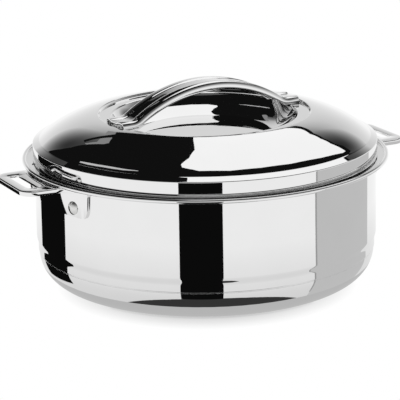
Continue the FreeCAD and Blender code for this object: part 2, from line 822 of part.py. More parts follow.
os.makedirs("parts", exist_ok=True)
for node in nodes:
    node.Shape.exportStep(f"parts/{node.Label}.step")
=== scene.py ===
import math

import bmesh
import bpy
from bmesh.types import BMEdge, BMVert
from bpy.props import FloatProperty, FloatVectorProperty, PointerProperty
from mathutils import Matrix, Quaternion, Vector


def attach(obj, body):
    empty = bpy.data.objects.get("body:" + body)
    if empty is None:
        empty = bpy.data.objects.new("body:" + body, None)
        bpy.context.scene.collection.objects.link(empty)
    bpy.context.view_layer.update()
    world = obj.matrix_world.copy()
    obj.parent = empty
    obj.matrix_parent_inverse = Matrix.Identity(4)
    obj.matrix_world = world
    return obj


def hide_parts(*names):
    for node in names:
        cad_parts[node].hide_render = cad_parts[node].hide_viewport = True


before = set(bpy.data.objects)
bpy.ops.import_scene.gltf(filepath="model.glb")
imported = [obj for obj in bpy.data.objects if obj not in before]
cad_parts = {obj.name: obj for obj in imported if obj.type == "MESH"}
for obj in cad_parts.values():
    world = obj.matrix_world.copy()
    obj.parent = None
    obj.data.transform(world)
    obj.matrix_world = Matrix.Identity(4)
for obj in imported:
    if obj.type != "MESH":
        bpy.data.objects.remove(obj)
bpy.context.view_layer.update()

bl_info = {
    "name": "Steel Serving Pot",
    "version": (1, 0, 0),
    "blender": (4, 5, 0),
    "location": "View3D > Sidebar > Serving Pot",
    "description": "Builds a double-wall steel serving pot with side handles and a domed lid",
    "category": "Add Mesh",
}

# How finely whole turns are divided
ROUND_STEPS = 256
RIVET_STEPS = 48
BEAD_STEPS = 32
# How finely arcs and bends are divided
BASE_STEPS = 24
MOUTH_STEPS = 8
BOWL_STEPS = 16
FLANGE_STEPS = 24
FLARE_STEPS = 10
ROOT_STEPS = 12
LIP_STEPS = 4
HEAD_STEPS = 14
DOME_STEPS = 48
DISH_STEPS = 32
PAN_STEPS = 10
ARCH_STEPS = 40
FOOT_STEPS = 10
BEND_STEPS = 6
SOFT_STEPS = 2
# Radii of the bends that pressing leaves: plain, crisp, beside the seam, and along the strap's channel
PRESS_BEND = 0.001
CRISP_BEND = 0.0005
SEAM_BEND = 0.00008
CHANNEL_BEND = 0.0006
# How much is taken off sharp edges
EDGE_BREAK = 0.0003
# An edge runs beside each bend, at this many times the bend's own reach
BEND_GUARD = 1.6
# Points nearer than this are one, and edges sharper than this are sheet edges
MERGE = 1e-6
SHARP = math.radians(40)
# At a corner of a sheet, its back may lie this many thicknesses behind its face
SHELL_LIMIT = 1.5
# Shank radius, tail radius, tail length, and depth from the head's seat to the tail
GRIP_RIVET = (0.0024, 0.0035, 0.002, 0.0039)
BAND_RIVET = (0.0015, 0.0025, 0.0014, 0.0016)
# A rivet's head reaches this far into its seat, and this share of its height is an upright edge
HEAD_LAP = 0.0001
HEAD_EDGE = 1 / 8
# The strap's sides start this far under its rounded edges, reach this far below the ring before they are
# cut level with it, and are at least this high
SIDE_START = 0.0005
SIDE_SINK = 0.001
SIDE_LEAST = 0.0002

UP = Vector((0, 0, 1))
# Where the side handles stand round the pot
HANDLE_SIDES = {"left": math.pi, "right": 0.0}


def length(name, description, default):
    """A size in metres."""
    return FloatProperty(name=name, description=description, default=default, unit="LENGTH", precision=5)


def angle(name, description, degrees):
    """An angle, given here in degrees."""
    return FloatProperty(name=name, description=description, default=math.radians(degrees), subtype="ANGLE")


def tint(name, description, default):
    """A surface colour."""
    return FloatVectorProperty(
        name=name, description=description, default=default, subtype="COLOR", size=3, min=0, max=1
    )


def share(name, description, default):
    """A number from nothing to all."""
    return FloatProperty(
        name=name, description=description, default=default, subtype="FACTOR", min=0, max=1
    )


class PotSizes(bpy.types.PropertyGroup):
    """Sizes of the pot below the lid"""

    sheet: length("Sheet", "Thickness of the steel skins", 0.0008)
    wall_radius: length("Wall radius", "Radius of the outer wall", 0.140)
    wall_start: length("Wall start", "Height where the straight wall starts", 0.0374)
    toe_radius: length("Toe radius", "Radius of the wall's stepped-in foot", 0.1388)
    toe_top: length("Toe top", "Height where the step out to the wall starts", 0.0334)
    seam_low: length("Seam bottom", "Height of the seam's lower edge", 0.0256)
    seam_high: length("Seam top", "Height of the seam's upper edge", 0.0264)
    base_radius: length("Base radius", "Radius of the base pan", 0.1382)
    base_corner: length("Base corner", "Radius of the base pan's round corner", 0.025)
    foot_width: length("Foot width", "Width of the flat ring it stands on", 0.014)
    panel_rise: length("Panel rise", "Height of the raised panel under the base", 0.0016)
    plug_radius: length("Plug radius", "Radius of the fill plugs' holes", 0.008)
    bowl_radius: length("Bowl radius", "Inside radius of the bowl", 0.1244)
    bowl_floor: length("Bowl floor", "Height of the bowl's floor", 0.018)
    bowl_corner: length("Bowl corner", "Radius between the bowl's floor and side", 0.022)
    mouth_round: length("Mouth round", "Radius of the bend from the bowl to the ledge", 0.003)
    ledge_height: length("Ledge height", "Height of the rim ledge's top", 0.1014)
    bead_radius: length("Bead circle", "Radius of the circle that the rolled bead runs on", 0.14818)
    bead_size: length("Bead size", "Radius of the rolled bead itself", 0.0018)
    bead_rise: length("Bead rise", "How far the bead's middle stands above the ledge", 0.0006)


class GripSizes(bpy.types.PropertyGroup):
    """Sizes of the side handles and their rivets"""

    sheet: length("Sheet", "Thickness of the handles", 0.002)
    flange_angle: angle("Flange angle", "How far a flange wraps the wall", 45.8)
    flange_drop: length("Flange drop", "Height of a flange", 0.0225)
    flange_corner: length("Flange corner", "Radius of a flange's lower corners", 0.012)
    overhang: length("Overhang", "How far a handle stands out from the wall", 0.034)
    width: length("Width", "Width of a handle", 0.066)
    corner: length("Corner", "Radius of a handle's outer corners", 0.012)
    flare: length("Flare", "Radius where a handle widens into its flange", 0.012)
    lip_depth: length("Lip depth", "Depth of the turned-down edge", 0.004)
    edge_round: length("Edge round", "Radius of the bend at the free edge", 0.0012)
    slot_inset: length("Slot inset", "From the outer edge to the middle of the slot", 0.0125)
    slot_length: length("Slot length", "Length of the finger slot", 0.042)
    slot_width: length("Slot width", "Width of the finger slot", 0.0095)
    slot_corner: length("Slot corner", "Radius of the slot's corners", 0.0025)
    rivet_angle: angle("Rivet angle", "From a handle's middle to each rivet", 16.3)
    rivet_drop: length("Rivet drop", "From the handle's top to the rivets", 0.0156)
    rivet_radius: length("Rivet radius", "Radius of a rivet's head", 0.0054)
    rivet_head: length("Rivet head", "Height of a rivet's head", 0.0026)


class LidSizes(bpy.types.PropertyGroup):
    """Sizes of the lid's skins"""

    radius: length("Lid radius", "Radius of the lid's band", 0.141)
    low: length("Lid bottom", "Height of the band's lower edge", 0.1026)
    band_top: length("Band top", "Height of the band's upper edge", 0.1153)
    shoulder_radius: length("Shoulder radius", "Radius where the shoulder meets the dome", 0.1355)
    shoulder_top: length("Shoulder top", "Height where the shoulder meets the dome", 0.1179)
    dome_round: length("Dome round", "Radius of the dome's arc", 0.091)
    recess_radius: length("Recess radius", "Radius of the recess on top", 0.087)
    recess_top: length("Recess top", "Height of the dome's inner edge", 0.1377)
    ring_radius: length("Ring radius", "Outer radius of the flat ring in the recess", 0.0856)
    ring_width: length("Ring width", "Width of the flat ring", 0.0096)
    ring_top: length("Ring top", "Height of the flat ring", 0.1355)
    dish_depth: length("Dish depth", "Depth of the dished middle", 0.0148)
    dish_floor: length("Dish floor", "Radius of the dish's flat floor", 0.049)
    pan_radius: length("Pan radius", "Radius of the lid's inner pan", 0.1229)
    pan_depth: length("Pan depth", "How far the pan hangs below the band", 0.009)
    pan_corner: length("Pan corner", "Radius of the pan's corner", 0.004)
    skirt_height: length("Skirt height", "Height of the pan's skirt inside the band", 0.008)
    seal_inset: length("Seal inset", "From the band to the seal ring", 0.0014)
    seal_width: length("Seal width", "Width of the seal ring", 0.008)
    rivet_angle: angle("Band rivet angle", "Where the band rivets stand round the lid", 19.3)
    rivet_height: length("Band rivet height", "From the band's lower edge to its rivets", 0.0049)
    rivet_radius: length("Band rivet radius", "Radius of a band rivet's head", 0.0025)
    rivet_head: length("Band rivet head", "Height of a band rivet's head", 0.0014)


class StrapSizes(bpy.types.PropertyGroup):
    """Sizes of the strap handle on the lid"""

    turn: angle("Turn", "How far the strap is turned from the line of the side handles", 4.7)
    sheet: length("Sheet", "Thickness of the strap", 0.0018)
    width: length("Width", "Width of the strap", 0.028)
    side: length("Side", "Height of the turned-down sides at the crest", 0.0069)
    edge_round: length("Edge round", "Radius between the strap's top and sides", 0.004)
    channel_width: length("Channel width", "Width of the channel along the top", 0.012)
    channel_wall: length("Channel wall", "Width of the channel's sloping walls", 0.0018)
    channel_depth: length("Channel depth", "Depth of the channel", 0.0009)
    arch_angle: angle("Arch angle", "Slope of the strap at its feet", 34)
    foot_bend: length("Foot bend", "Radius of the bend from the arch to a pad", 0.014)
    foot_length: length("Foot length", "Length of the side that stands on the ring", 0.015)
    pad_length: length("Pad length", "Length of the flat pads", 0.0101)
    pad_rise: length("Pad rise", "Height of the pads above the ring", 0.0056)
    pad_gap: length("Pad gap", "From a pad's end to the recess", 0.0006)


class Finishes(bpy.types.PropertyGroup):
    """Colours and polish"""

    steel: tint("Polished steel", "Colour of the mirror-polished skins", (0.82, 0.82, 0.82))
    steel_roughness: share("Polish", "Roughness of the polished steel", 0.012)
    rivet: tint("Rivet steel", "Colour of the satin rivets and hardware", (0.72, 0.72, 0.71))
    rivet_roughness: share("Rivet polish", "Roughness of the rivet steel", 0.22)
    rubber: tint("Seal", "Colour of the seal ring", (0.02, 0.02, 0.02))
    plastic: tint("Plugs", "Colour of the fill plugs", (0.10, 0.10, 0.10))
    foam: tint("Foam", "Colour of the insulation", (0.80, 0.72, 0.50))


class StageSettings(bpy.types.PropertyGroup):
    """The camera and the studio round the pot"""

    azimuth: angle("Azimuth", "Where the camera stands round the pot", -26.76)
    elevation: angle("Elevation", "How high the camera stands", 14.85)
    distance: length("Distance", "From the pot's middle to the camera", 1.8)
    aim_height: length("Aim height", "Height the camera is set up on", 0.088)
    pan: angle("Pan", "Small turn of the camera to the left", 0.153)
    tilt: angle("Tilt", "Small turn of the camera upwards", -0.796)
    roll: angle("Roll", "Small turn of the camera about its view", 0.896)
    lens: FloatProperty(name="Lens", description="Focal length", default=196.94, unit="CAMERA")
    floor: tint("Floor", "Colour of the floor", (0.85, 0.85, 0.85))


class ServingPot(bpy.types.PropertyGroup):
    """Everything a user may change"""

    pot: PointerProperty(type=PotSizes)
    grip: PointerProperty(type=GripSizes)
    lid: PointerProperty(type=LidSizes)
    strap: PointerProperty(type=StrapSizes)
    finish: PointerProperty(type=Finishes)
    stage: PointerProperty(type=StageSettings)


# Drawing and shaping


def only(kind, items):
    """Those of the items that are of one kind, such as vertices."""
    return [item for item in items if isinstance(item, kind)]


def whole(bm):
    """Everything in a bmesh."""
    return bm.verts[:] + bm.edges[:] + bm.faces[:]


class Outline:
    """A line drawn point by point in one plane. The face that will show lies to the right of the way."""

    PLANES = {
        "upright": (Vector((1, 0, 0)), Vector((0, 0, 1))),
        "flat": (Vector((1, 0, 0)), Vector((0, 1, 0))),
        "across": (Vector((0, 1, 0)), Vector((0, 0, 1))),
    }

    def __init__(self, bm, plane, start, offset=0.0):
        self.bm = bm
        self.ahead, self.aside = self.PLANES[plane]
        self.axis = self.ahead.cross(self.aside)
        self.base = self.axis * offset
        self.first = self.tip = bm.verts.new(self.point(start))
        self.right = None
        self.bends = []
        self.tip_bend = 0.0

    def point(self, place):
        """A place in the plane as a point in space."""
        return self.base + self.ahead * place[0] + self.aside * place[1]

    def step(self, target):
        """One edge to a vertex."""
        if self.right is None:
            self.right = (target.co - self.tip.co).cross(self.axis).normalized()
        self.bm.edges.new((self.tip, target))
        self.tip = target

    def reach(self, target, bend):
        """A straight run to a vertex, with an edge beside each bend so that the flat stays flat."""
        start = self.tip.co.copy()
        run = target.co - start
        for spare, origin, sign in ((self.tip_bend, start, 1), (bend, target.co, -1)):
            beside = spare * BEND_GUARD
            if spare and beside < run.length / 2:
                self.step(self.bm.verts.new(origin + run.normalized() * sign * beside))
        self.step(target)

    def line(self, place, bend=0.0):
        """A straight run to the next place, where the line may bend."""
        self.reach(self.bm.verts.new(self.point(place)), bend)
        self.mark(bend)

    def arc(self, place, bow, steps, bend=0.0):
        """An arc of radius bow to the next place, centred on the left of the way if bow is positive."""
        start, end = self.tip.co.copy(), self.point(place)
        run = end - start
        left = self.axis.cross(run).normalized()
        height = math.sqrt(max(bow * bow - run.length_squared / 4, 0))
        centre = (start + end) / 2 + left * math.copysign(height, bow)
        turn = math.copysign(2 * math.asin(run.length / 2 / abs(bow)), bow)
        made = bmesh.ops.spin(
            self.bm, geom=[self.tip], cent=centre, axis=self.axis, angle=turn, steps=steps, use_merge=False
        )
        if self.right is None:
            self.right = run.cross(self.axis).normalized()
        self.tip = only(BMVert, made["geom_last"])[0]
        self.mark(bend)

    def mark(self, bend):
        """Notes that the tip is to be rounded."""
        self.tip_bend = bend
        if bend:
            self.bends.append((self.tip, bend))

    def close(self):
        """Goes back to the first point."""
        self.reach(self.first, 0.0)

    def round_bends(self):
        """Rounds every marked point."""
        for vertex, bend in self.bends:
            bmesh.ops.bevel(
                self.bm, geom=[vertex], offset=bend, offset_type="OFFSET", segments=BEND_STEPS,
                profile=0.5, affect="VERTICES", material=-1,
            )


def spin_round(bm, steps):
    """Spins everything drawn so far once about the upright axis."""
    bmesh.ops.spin(
        bm, geom=bm.verts[:] + bm.edges[:], cent=(0, 0, 0), axis=UP, angle=2 * math.pi,
        steps=steps, use_merge=True,
    )
    bmesh.ops.remove_doubles(bm, verts=bm.verts[:], dist=MERGE)


def top_face(bm):
    """The highest face."""
    return max(bm.faces, key=lambda face: face.calc_center_median().z)


def face_outward(bm, face, outward):
    """Turns all faces of one open sheet the same way, so that the given face looks outward."""
    bmesh.ops.recalc_face_normals(bm, faces=bm.faces[:])
    bm.normal_update()
    if face.normal.dot(outward) < 0:
        bmesh.ops.reverse_faces(bm, faces=bm.faces[:])


def thicken(bm, sheet):
    """Gives an open sheet its thickness, behind the face that shows."""
    bm.normal_update()
    behind = bm.verts.layers.float_vector.new("behind")
    for vertex in bm.verts:
        vertex[behind] = vertex.normal * -sheet * min(vertex.calc_shell_factor(), SHELL_LIMIT)
    back = bmesh.ops.extrude_face_region(bm, geom=whole(bm), use_keep_orig=True)["geom"]
    for vertex in only(BMVert, back):
        vertex.co += vertex[behind]
    bm.verts.layers.float_vector.remove(behind)
    bmesh.ops.recalc_face_normals(bm, faces=bm.faces[:])


def spun_skin(outline, sheet):
    """Spins an open outline into a skin whose shown face is the outline, with its thickness behind it."""
    bm = outline.bm
    outline.round_bends()
    spin_round(bm, ROUND_STEPS)
    face_outward(bm, outline.first.link_faces[0], outline.right)
    thicken(bm, sheet)


def spun_solid(outline, steps):
    """Spins an outline that is closed, or that runs from the axis back to it."""
    bm = outline.bm
    outline.round_bends()
    spin_round(bm, steps)
    bmesh.ops.recalc_face_normals(bm, faces=bm.faces[:])


def join(bm, other):
    """Adds another bmesh's shape to this one."""
    mesh = bpy.data.meshes.new("part")
    other.to_mesh(mesh)
    other.free()
    bm.from_mesh(mesh)
    bpy.data.meshes.remove(mesh)


def soften_edges(bm):
    """Takes the sharpness off every edge that is still sharp."""
    bm.normal_update()
    sharp = [edge for edge in bm.edges if edge.is_manifold and edge.calc_face_angle() > SHARP]
    bmesh.ops.bevel(
        bm, geom=sharp, offset=EDGE_BREAK, offset_type="OFFSET", segments=SOFT_STEPS, profile=0.5,
        affect="EDGES", clamp_overlap=True, material=-1,
    )


def finished_mesh(bm, name):
    """Turns a bmesh into a mesh with smooth faces and crisp sheet edges."""
    bm.normal_update()
    for face in bm.faces:
        face.smooth = True
    for edge in bm.edges:
        edge.smooth = not (edge.is_manifold and edge.calc_face_angle() > SHARP)
    mesh = bpy.data.meshes.new(name)
    bm.to_mesh(mesh)
    bm.free()
    return mesh


def add_piece(bm, name, body, slot, material, *nodes):
    """Makes the finished piece, which rides on its body and stands for its CAD nodes."""
    piece = bpy.data.objects.new(name, finished_mesh(bm, name))
    bpy.context.scene.collection.objects.link(piece)
    piece.data.materials.append(material)
    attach(piece, body)
    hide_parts(*nodes)


def settings():
    """The values a user may change."""
    return bpy.context.scene.serving_pot


# Heights and radii that more than one piece needs


def plate_top():
    """Height of the side handles' flat tops, under the rim ledge and the wall's own flange."""
    pot = settings().pot
    return pot.ledge_height - 2 * pot.sheet


def strap_shape():
    """The strap's reaches and heights along its length."""
    lid, strap = settings().lid, settings().strap
    slope = strap.arch_angle
    pad_end = lid.ring_radius - strap.pad_gap
    pad_start = pad_end - strap.pad_length
    pad_top = lid.ring_top + strap.pad_rise
    foot = pad_start - strap.foot_bend * math.sin(slope)
    arch = foot / math.sin(slope)
    crest = pad_top + (strap.foot_bend + arch) * (1 - math.cos(slope))
    return pad_start, pad_end, pad_top, arch, crest


# Materials


# Polishing marks: lines to the metre, fineness of the smears and of the slow waves in the sheet, and how much
# the lines add to the height of the waves
LINE_PITCH = 2200.0
SMEAR_SCALE = 38.0
WAVE_SCALE = 9.0
LINE_HEIGHT = 0.02
# The lines run round the axis from this radius outward, and no steel is smoother than this
LINE_START = 0.001
SMOOTHEST = 0.01
# The middle value of noise
NOISE_MIDDLE = 0.5
# How far the colour of steel drifts over a piece
STEEL_DRIFT = 0.02
# Fineness of the drift of colour in moulded pieces, and how strongly their grain shows
DRIFT_SCALE = 60.0
GRAIN_STRENGTH = 0.6


def node_material(name):
    """A material with its shader, and the places on the object that its patterns use."""
    material = bpy.data.materials.new(name)
    material.use_nodes = True
    nodes = material.node_tree.nodes
    shader = nodes["Principled BSDF"]
    places = nodes.new("ShaderNodeTexCoord")
    return material, shader, places.outputs["Object"]


def math_node(tree, operation, first, second=None):
    """One sum on two values, each a socket or a number."""
    node = tree.nodes.new("ShaderNodeMath")
    node.operation = operation
    for socket, value in zip(node.inputs, (first, second)):
        if isinstance(value, bpy.types.NodeSocket):
            tree.links.new(value, socket)
        elif value is not None:
            socket.default_value = value
    return node.outputs["Value"]


def new_group(name, inputs, outputs):
    """An empty node group with named value sockets, and its two end nodes."""
    tree = bpy.data.node_groups.new(name, "ShaderNodeTree")
    for label, kind, default in inputs:
        socket = tree.interface.new_socket(label, in_out="INPUT", socket_type=kind)
        if default is not None:
            socket.default_value = default
    for label, kind in outputs:
        tree.interface.new_socket(label, in_out="OUTPUT", socket_type=kind)
    return tree, tree.nodes.new("NodeGroupInput"), tree.nodes.new("NodeGroupOutput")


def noise(tree, vector, scale, detail):
    """Cloudy noise over a vector."""
    node = tree.nodes.new("ShaderNodeTexNoise")
    node.inputs["Scale"].default_value = scale
    node.inputs["Detail"].default_value = detail
    tree.links.new(vector, node.inputs["Vector"])
    return node.outputs["Fac"]


def polish_group():
    """Fine lines left by polishing on a turning table, faint smears, and slow waves in the sheet."""
    known = bpy.data.node_groups.get("polish")
    if known:
        return known
    tree, start, end = new_group(
        "polish",
        [
            ("Places", "NodeSocketVector", None),
            ("Roughness", "NodeSocketFloat", 0.05),
            ("Lines", "NodeSocketFloat", 0.02),
            ("Smears", "NodeSocketFloat", 0.02),
        ],
        [("Roughness", "NodeSocketFloat"), ("Height", "NodeSocketFloat"), ("Tone", "NodeSocketFloat")],
    )
    places = start.outputs["Places"]
    split = tree.nodes.new("ShaderNodeSeparateXYZ")
    tree.links.new(places, split.inputs["Vector"])
    x, y, z = (split.outputs[name] for name in "XYZ")
    across = math_node(tree, "ADD", math_node(tree, "MULTIPLY", x, x), math_node(tree, "MULTIPLY", y, y))
    radius = math_node(tree, "SQRT", across)
    safe = math_node(tree, "MAXIMUM", radius, LINE_START)
    round_x = math_node(tree, "DIVIDE", x, safe)
    round_y = math_node(tree, "DIVIDE", y, safe)
    along = math_node(tree, "MULTIPLY", math_node(tree, "ADD", radius, z), LINE_PITCH)
    lines = tree.nodes.new("ShaderNodeCombineXYZ")
    for source, socket in zip((round_x, round_y, along), lines.inputs):
        tree.links.new(source, socket)
    scratches = noise(tree, lines.outputs["Vector"], scale=1.0, detail=2.0)
    smears = noise(tree, places, SMEAR_SCALE, detail=3.0)
    waves = noise(tree, places, WAVE_SCALE, detail=1.0)
    either_way = math_node(tree, "SUBTRACT", scratches, NOISE_MIDDLE)
    line_part = math_node(tree, "MULTIPLY", either_way, start.outputs["Lines"])
    smear_part = math_node(tree, "MULTIPLY", smears, start.outputs["Smears"])
    lined = math_node(tree, "ADD", start.outputs["Roughness"], line_part)
    rough = math_node(tree, "ADD", lined, smear_part)
    tree.links.new(math_node(tree, "MAXIMUM", rough, SMOOTHEST), end.inputs["Roughness"])
    fine = math_node(tree, "MULTIPLY", scratches, LINE_HEIGHT)
    tree.links.new(math_node(tree, "ADD", waves, fine), end.inputs["Height"])
    tree.links.new(smears, end.inputs["Tone"])
    return tree


def grain_group():
    """Fine moulded grain: a height and a tone."""
    known = bpy.data.node_groups.get("grain")
    if known:
        return known
    tree, start, end = new_group(
        "grain",
        [("Places", "NodeSocketVector", None), ("Scale", "NodeSocketFloat", 900.0)],
        [("Height", "NodeSocketFloat"), ("Tone", "NodeSocketFloat")],
    )
    fine = tree.nodes.new("ShaderNodeTexNoise")
    fine.inputs["Detail"].default_value = 3.0
    tree.links.new(start.outputs["Places"], fine.inputs["Vector"])
    tree.links.new(start.outputs["Scale"], fine.inputs["Scale"])
    tree.links.new(fine.outputs["Fac"], end.inputs["Height"])
    drift = noise(tree, start.outputs["Places"], DRIFT_SCALE, detail=2.0)
    tree.links.new(drift, end.inputs["Tone"])
    return tree


def place_group(material, group, places, **values):
    """Puts a node group into a material."""
    tree = material.node_tree
    node = tree.nodes.new("ShaderNodeGroup")
    node.node_tree = group
    tree.links.new(places, node.inputs["Places"])
    for label, value in values.items():
        node.inputs[label].default_value = value
    return node


def shade(material, shader, colour, tone, spread):
    """Gives the shader a colour that drifts a little with the tone."""
    tree = material.node_tree
    ramp = tree.nodes.new("ShaderNodeValToRGB")
    for element, change in zip(ramp.color_ramp.elements, (1 - spread, 1 + spread)):
        element.color = [min(part * change, 1) for part in colour] + [1]
    tree.links.new(tone, ramp.inputs["Fac"])
    tree.links.new(ramp.outputs["Color"], shader.inputs["Base Color"])


def bump(material, shader, height, depth, strength):
    """Lets a height move the shader's normals."""
    tree = material.node_tree
    node = tree.nodes.new("ShaderNodeBump")
    node.inputs["Distance"].default_value = depth
    node.inputs["Strength"].default_value = strength
    tree.links.new(height, node.inputs["Height"])
    tree.links.new(node.outputs["Normal"], shader.inputs["Normal"])


def steel(name, colour, roughness, lines, smears, waves):
    """Polished or satin steel."""
    known = bpy.data.materials.get(name)
    if known:
        return known
    material, shader, places = node_material(name)
    shader.inputs["Metallic"].default_value = 1.0
    polish = place_group(material, polish_group(), places, Roughness=roughness, Lines=lines, Smears=smears)
    material.node_tree.links.new(polish.outputs["Roughness"], shader.inputs["Roughness"])
    shade(material, shader, colour, polish.outputs["Tone"], STEEL_DRIFT)
    bump(material, shader, polish.outputs["Height"], waves, strength=1.0)
    return material


def polished_steel():
    """The mirror finish of the skins and handles."""
    finish = settings().finish
    return steel(
        "mirror_steel", finish.steel, finish.steel_roughness, lines=0.006, smears=0.008, waves=0.00010
    )


def rivet_steel():
    """The satin finish of rivets, washers, studs and nuts."""
    finish = settings().finish
    return steel(
        "satin_steel", finish.rivet, finish.rivet_roughness, lines=0.12, smears=0.06, waves=0.00012
    )


def moulded(name, colour, roughness, scale, depth, spread):
    """A matt moulded stuff: rubber, plastic or foam."""
    known = bpy.data.materials.get(name)
    if known:
        return known
    material, shader, places = node_material(name)
    shader.inputs["Roughness"].default_value = roughness
    grain = place_group(material, grain_group(), places, Scale=scale)
    shade(material, shader, colour, grain.outputs["Tone"], spread)
    bump(material, shader, grain.outputs["Height"], depth, GRAIN_STRENGTH)
    return material


# Pieces of the pot


def add_skin(outline, name, body, node):
    """Spins an outline into a skin of polished sheet steel, and makes it a piece."""
    spun_skin(outline, settings().pot.sheet)
    add_piece(outline.bm, name, body, "polished_steel", polished_steel(), node)


class SERVINGPOT_OT_base_pan(bpy.types.Operator):
    """Presses the base pan: raised panel, ring foot, round corner and the neck inside the wall"""

    bl_idname = "serving_pot.base_pan"
    bl_label = "Base Pan"

    def execute(self, context):
        pot = settings().pot
        corner = pot.base_corner
        foot = pot.base_radius - corner
        panel = foot - pot.foot_width
        neck = pot.toe_radius - pot.sheet
        outline = Outline(bmesh.new(), "upright", (pot.plug_radius, pot.panel_rise))
        outline.line((panel, pot.panel_rise), PRESS_BEND)
        outline.line((panel + pot.panel_rise, 0), PRESS_BEND)
        outline.line((foot, 0))
        outline.arc((pot.base_radius, corner), corner, BASE_STEPS)
        outline.line((pot.base_radius, pot.seam_low), SEAM_BEND)
        outline.line((neck, pot.seam_low), SEAM_BEND)
        outline.line((neck, pot.toe_top))
        add_skin(outline, "base_pan_skin", "pot", "base_pan")
        return {"FINISHED"}


class SERVINGPOT_OT_outer_shell(bpy.types.Operator):
    """Presses the outer wall, stepped in at the foot and turned out under the rim"""

    bl_idname = "serving_pot.outer_shell"
    bl_label = "Outer Wall"

    def execute(self, context):
        pot = settings().pot
        top = plate_top()
        outline = Outline(bmesh.new(), "upright", (pot.toe_radius - pot.sheet, pot.seam_high))
        outline.line((pot.toe_radius, pot.seam_high), CRISP_BEND)
        outline.line((pot.toe_radius, pot.toe_top), PRESS_BEND)
        outline.line((pot.wall_radius, pot.wall_start), PRESS_BEND)
        outline.line((pot.wall_radius, top), PRESS_BEND)
        outline.line((pot.bead_radius - pot.bead_size, top))
        add_skin(outline, "outer_wall_skin", "pot", "outer_shell")
        return {"FINISHED"}


class SERVINGPOT_OT_inner_liner(bpy.types.Operator):
    """Presses the bowl with its rim ledge, and rolls the bead round the ledge"""

    bl_idname = "serving_pot.inner_liner"
    bl_label = "Bowl and Rim"

    def execute(self, context):
        pot = settings().pot
        mouth, corner = pot.mouth_round, pot.bowl_corner
        bm = bmesh.new()
        outline = Outline(bm, "upright", (pot.bead_radius, pot.ledge_height))
        outline.line((pot.bowl_radius + mouth, pot.ledge_height))
        outline.arc((pot.bowl_radius, pot.ledge_height - mouth), mouth, MOUTH_STEPS)
        outline.line((pot.bowl_radius, pot.bowl_floor + corner))
        outline.arc((pot.bowl_radius - corner, pot.bowl_floor), -corner, BOWL_STEPS)
        outline.line((0, pot.bowl_floor))
        spun_skin(outline, pot.sheet)
        ring = bmesh.new()
        middle = Matrix.Translation((pot.bead_radius, 0, pot.ledge_height + pot.bead_rise))
        upright = Matrix.Rotation(math.pi / 2, 4, "X")
        bmesh.ops.create_circle(ring, segments=BEAD_STEPS, radius=pot.bead_size, matrix=middle @ upright)
        spin_round(ring, ROUND_STEPS)
        bmesh.ops.recalc_face_normals(ring, faces=ring.faces[:])
        join(bm, ring)
        add_piece(bm, "bowl_and_rim", "pot", "polished_steel", polished_steel(), "inner_liner")
        return {"FINISHED"}


class SERVINGPOT_OT_side_handles(bpy.types.Operator):
    """Presses the two side handles: flange on the wall, flat plate with a finger slot, turned-down edge"""

    bl_idname = "serving_pot.side_handles"
    bl_label = "Side Handles"

    def execute(self, context):
        for side, bearing in HANDLE_SIDES.items():
            bm = handle_flange()
            join(bm, handle_plate())
            soften_edges(bm)
            turn = Matrix.Rotation(bearing, 3, "Z")
            bmesh.ops.rotate(bm, verts=bm.verts[:], cent=(0, 0, 0), matrix=turn)
            node = f"{side}_side_handle"
            add_piece(bm, f"{side}_grip", "pot", "polished_steel", polished_steel(), node)
        return {"FINISHED"}


def handle_flange():
    """The strip of a side handle that lies on the wall, on the +X side."""
    pot, grip = settings().pot, settings().grip
    high = plate_top()
    low = high - grip.flange_drop
    near, far = pot.wall_radius, pot.wall_radius + grip.sheet
    bm = bmesh.new()
    outline = Outline(bm, "upright", (near, low))
    for place in ((far, low), (far, high), (near, high)):
        outline.line(place)
    outline.close()
    half_turn = Matrix.Rotation(-grip.flange_angle / 2, 3, "Z")
    bmesh.ops.rotate(bm, verts=bm.verts[:], cent=(0, 0, 0), matrix=half_turn)
    bmesh.ops.spin(
        bm, geom=bm.verts[:] + bm.edges[:], cent=(0, 0, 0), axis=UP, angle=grip.flange_angle,
        steps=FLANGE_STEPS, use_merge=False,
    )
    bmesh.ops.holes_fill(bm, edges=[edge for edge in bm.edges if edge.is_boundary], sides=4)
    bmesh.ops.recalc_face_normals(bm, faces=bm.faces[:])
    bm.normal_update()
    corners = [
        edge for edge in bm.edges
        if edge.calc_face_angle() > SHARP
        and all(abs(vertex.co.z - low) < MERGE for vertex in edge.verts)
        and abs(edge.verts[0].co.xy.length - edge.verts[1].co.xy.length) > grip.sheet / 2
    ]
    bmesh.ops.bevel(
        bm, geom=corners, offset=grip.flange_corner, offset_type="OFFSET", segments=BEND_STEPS,
        profile=0.5, affect="EDGES", material=-1,
    )
    return bm


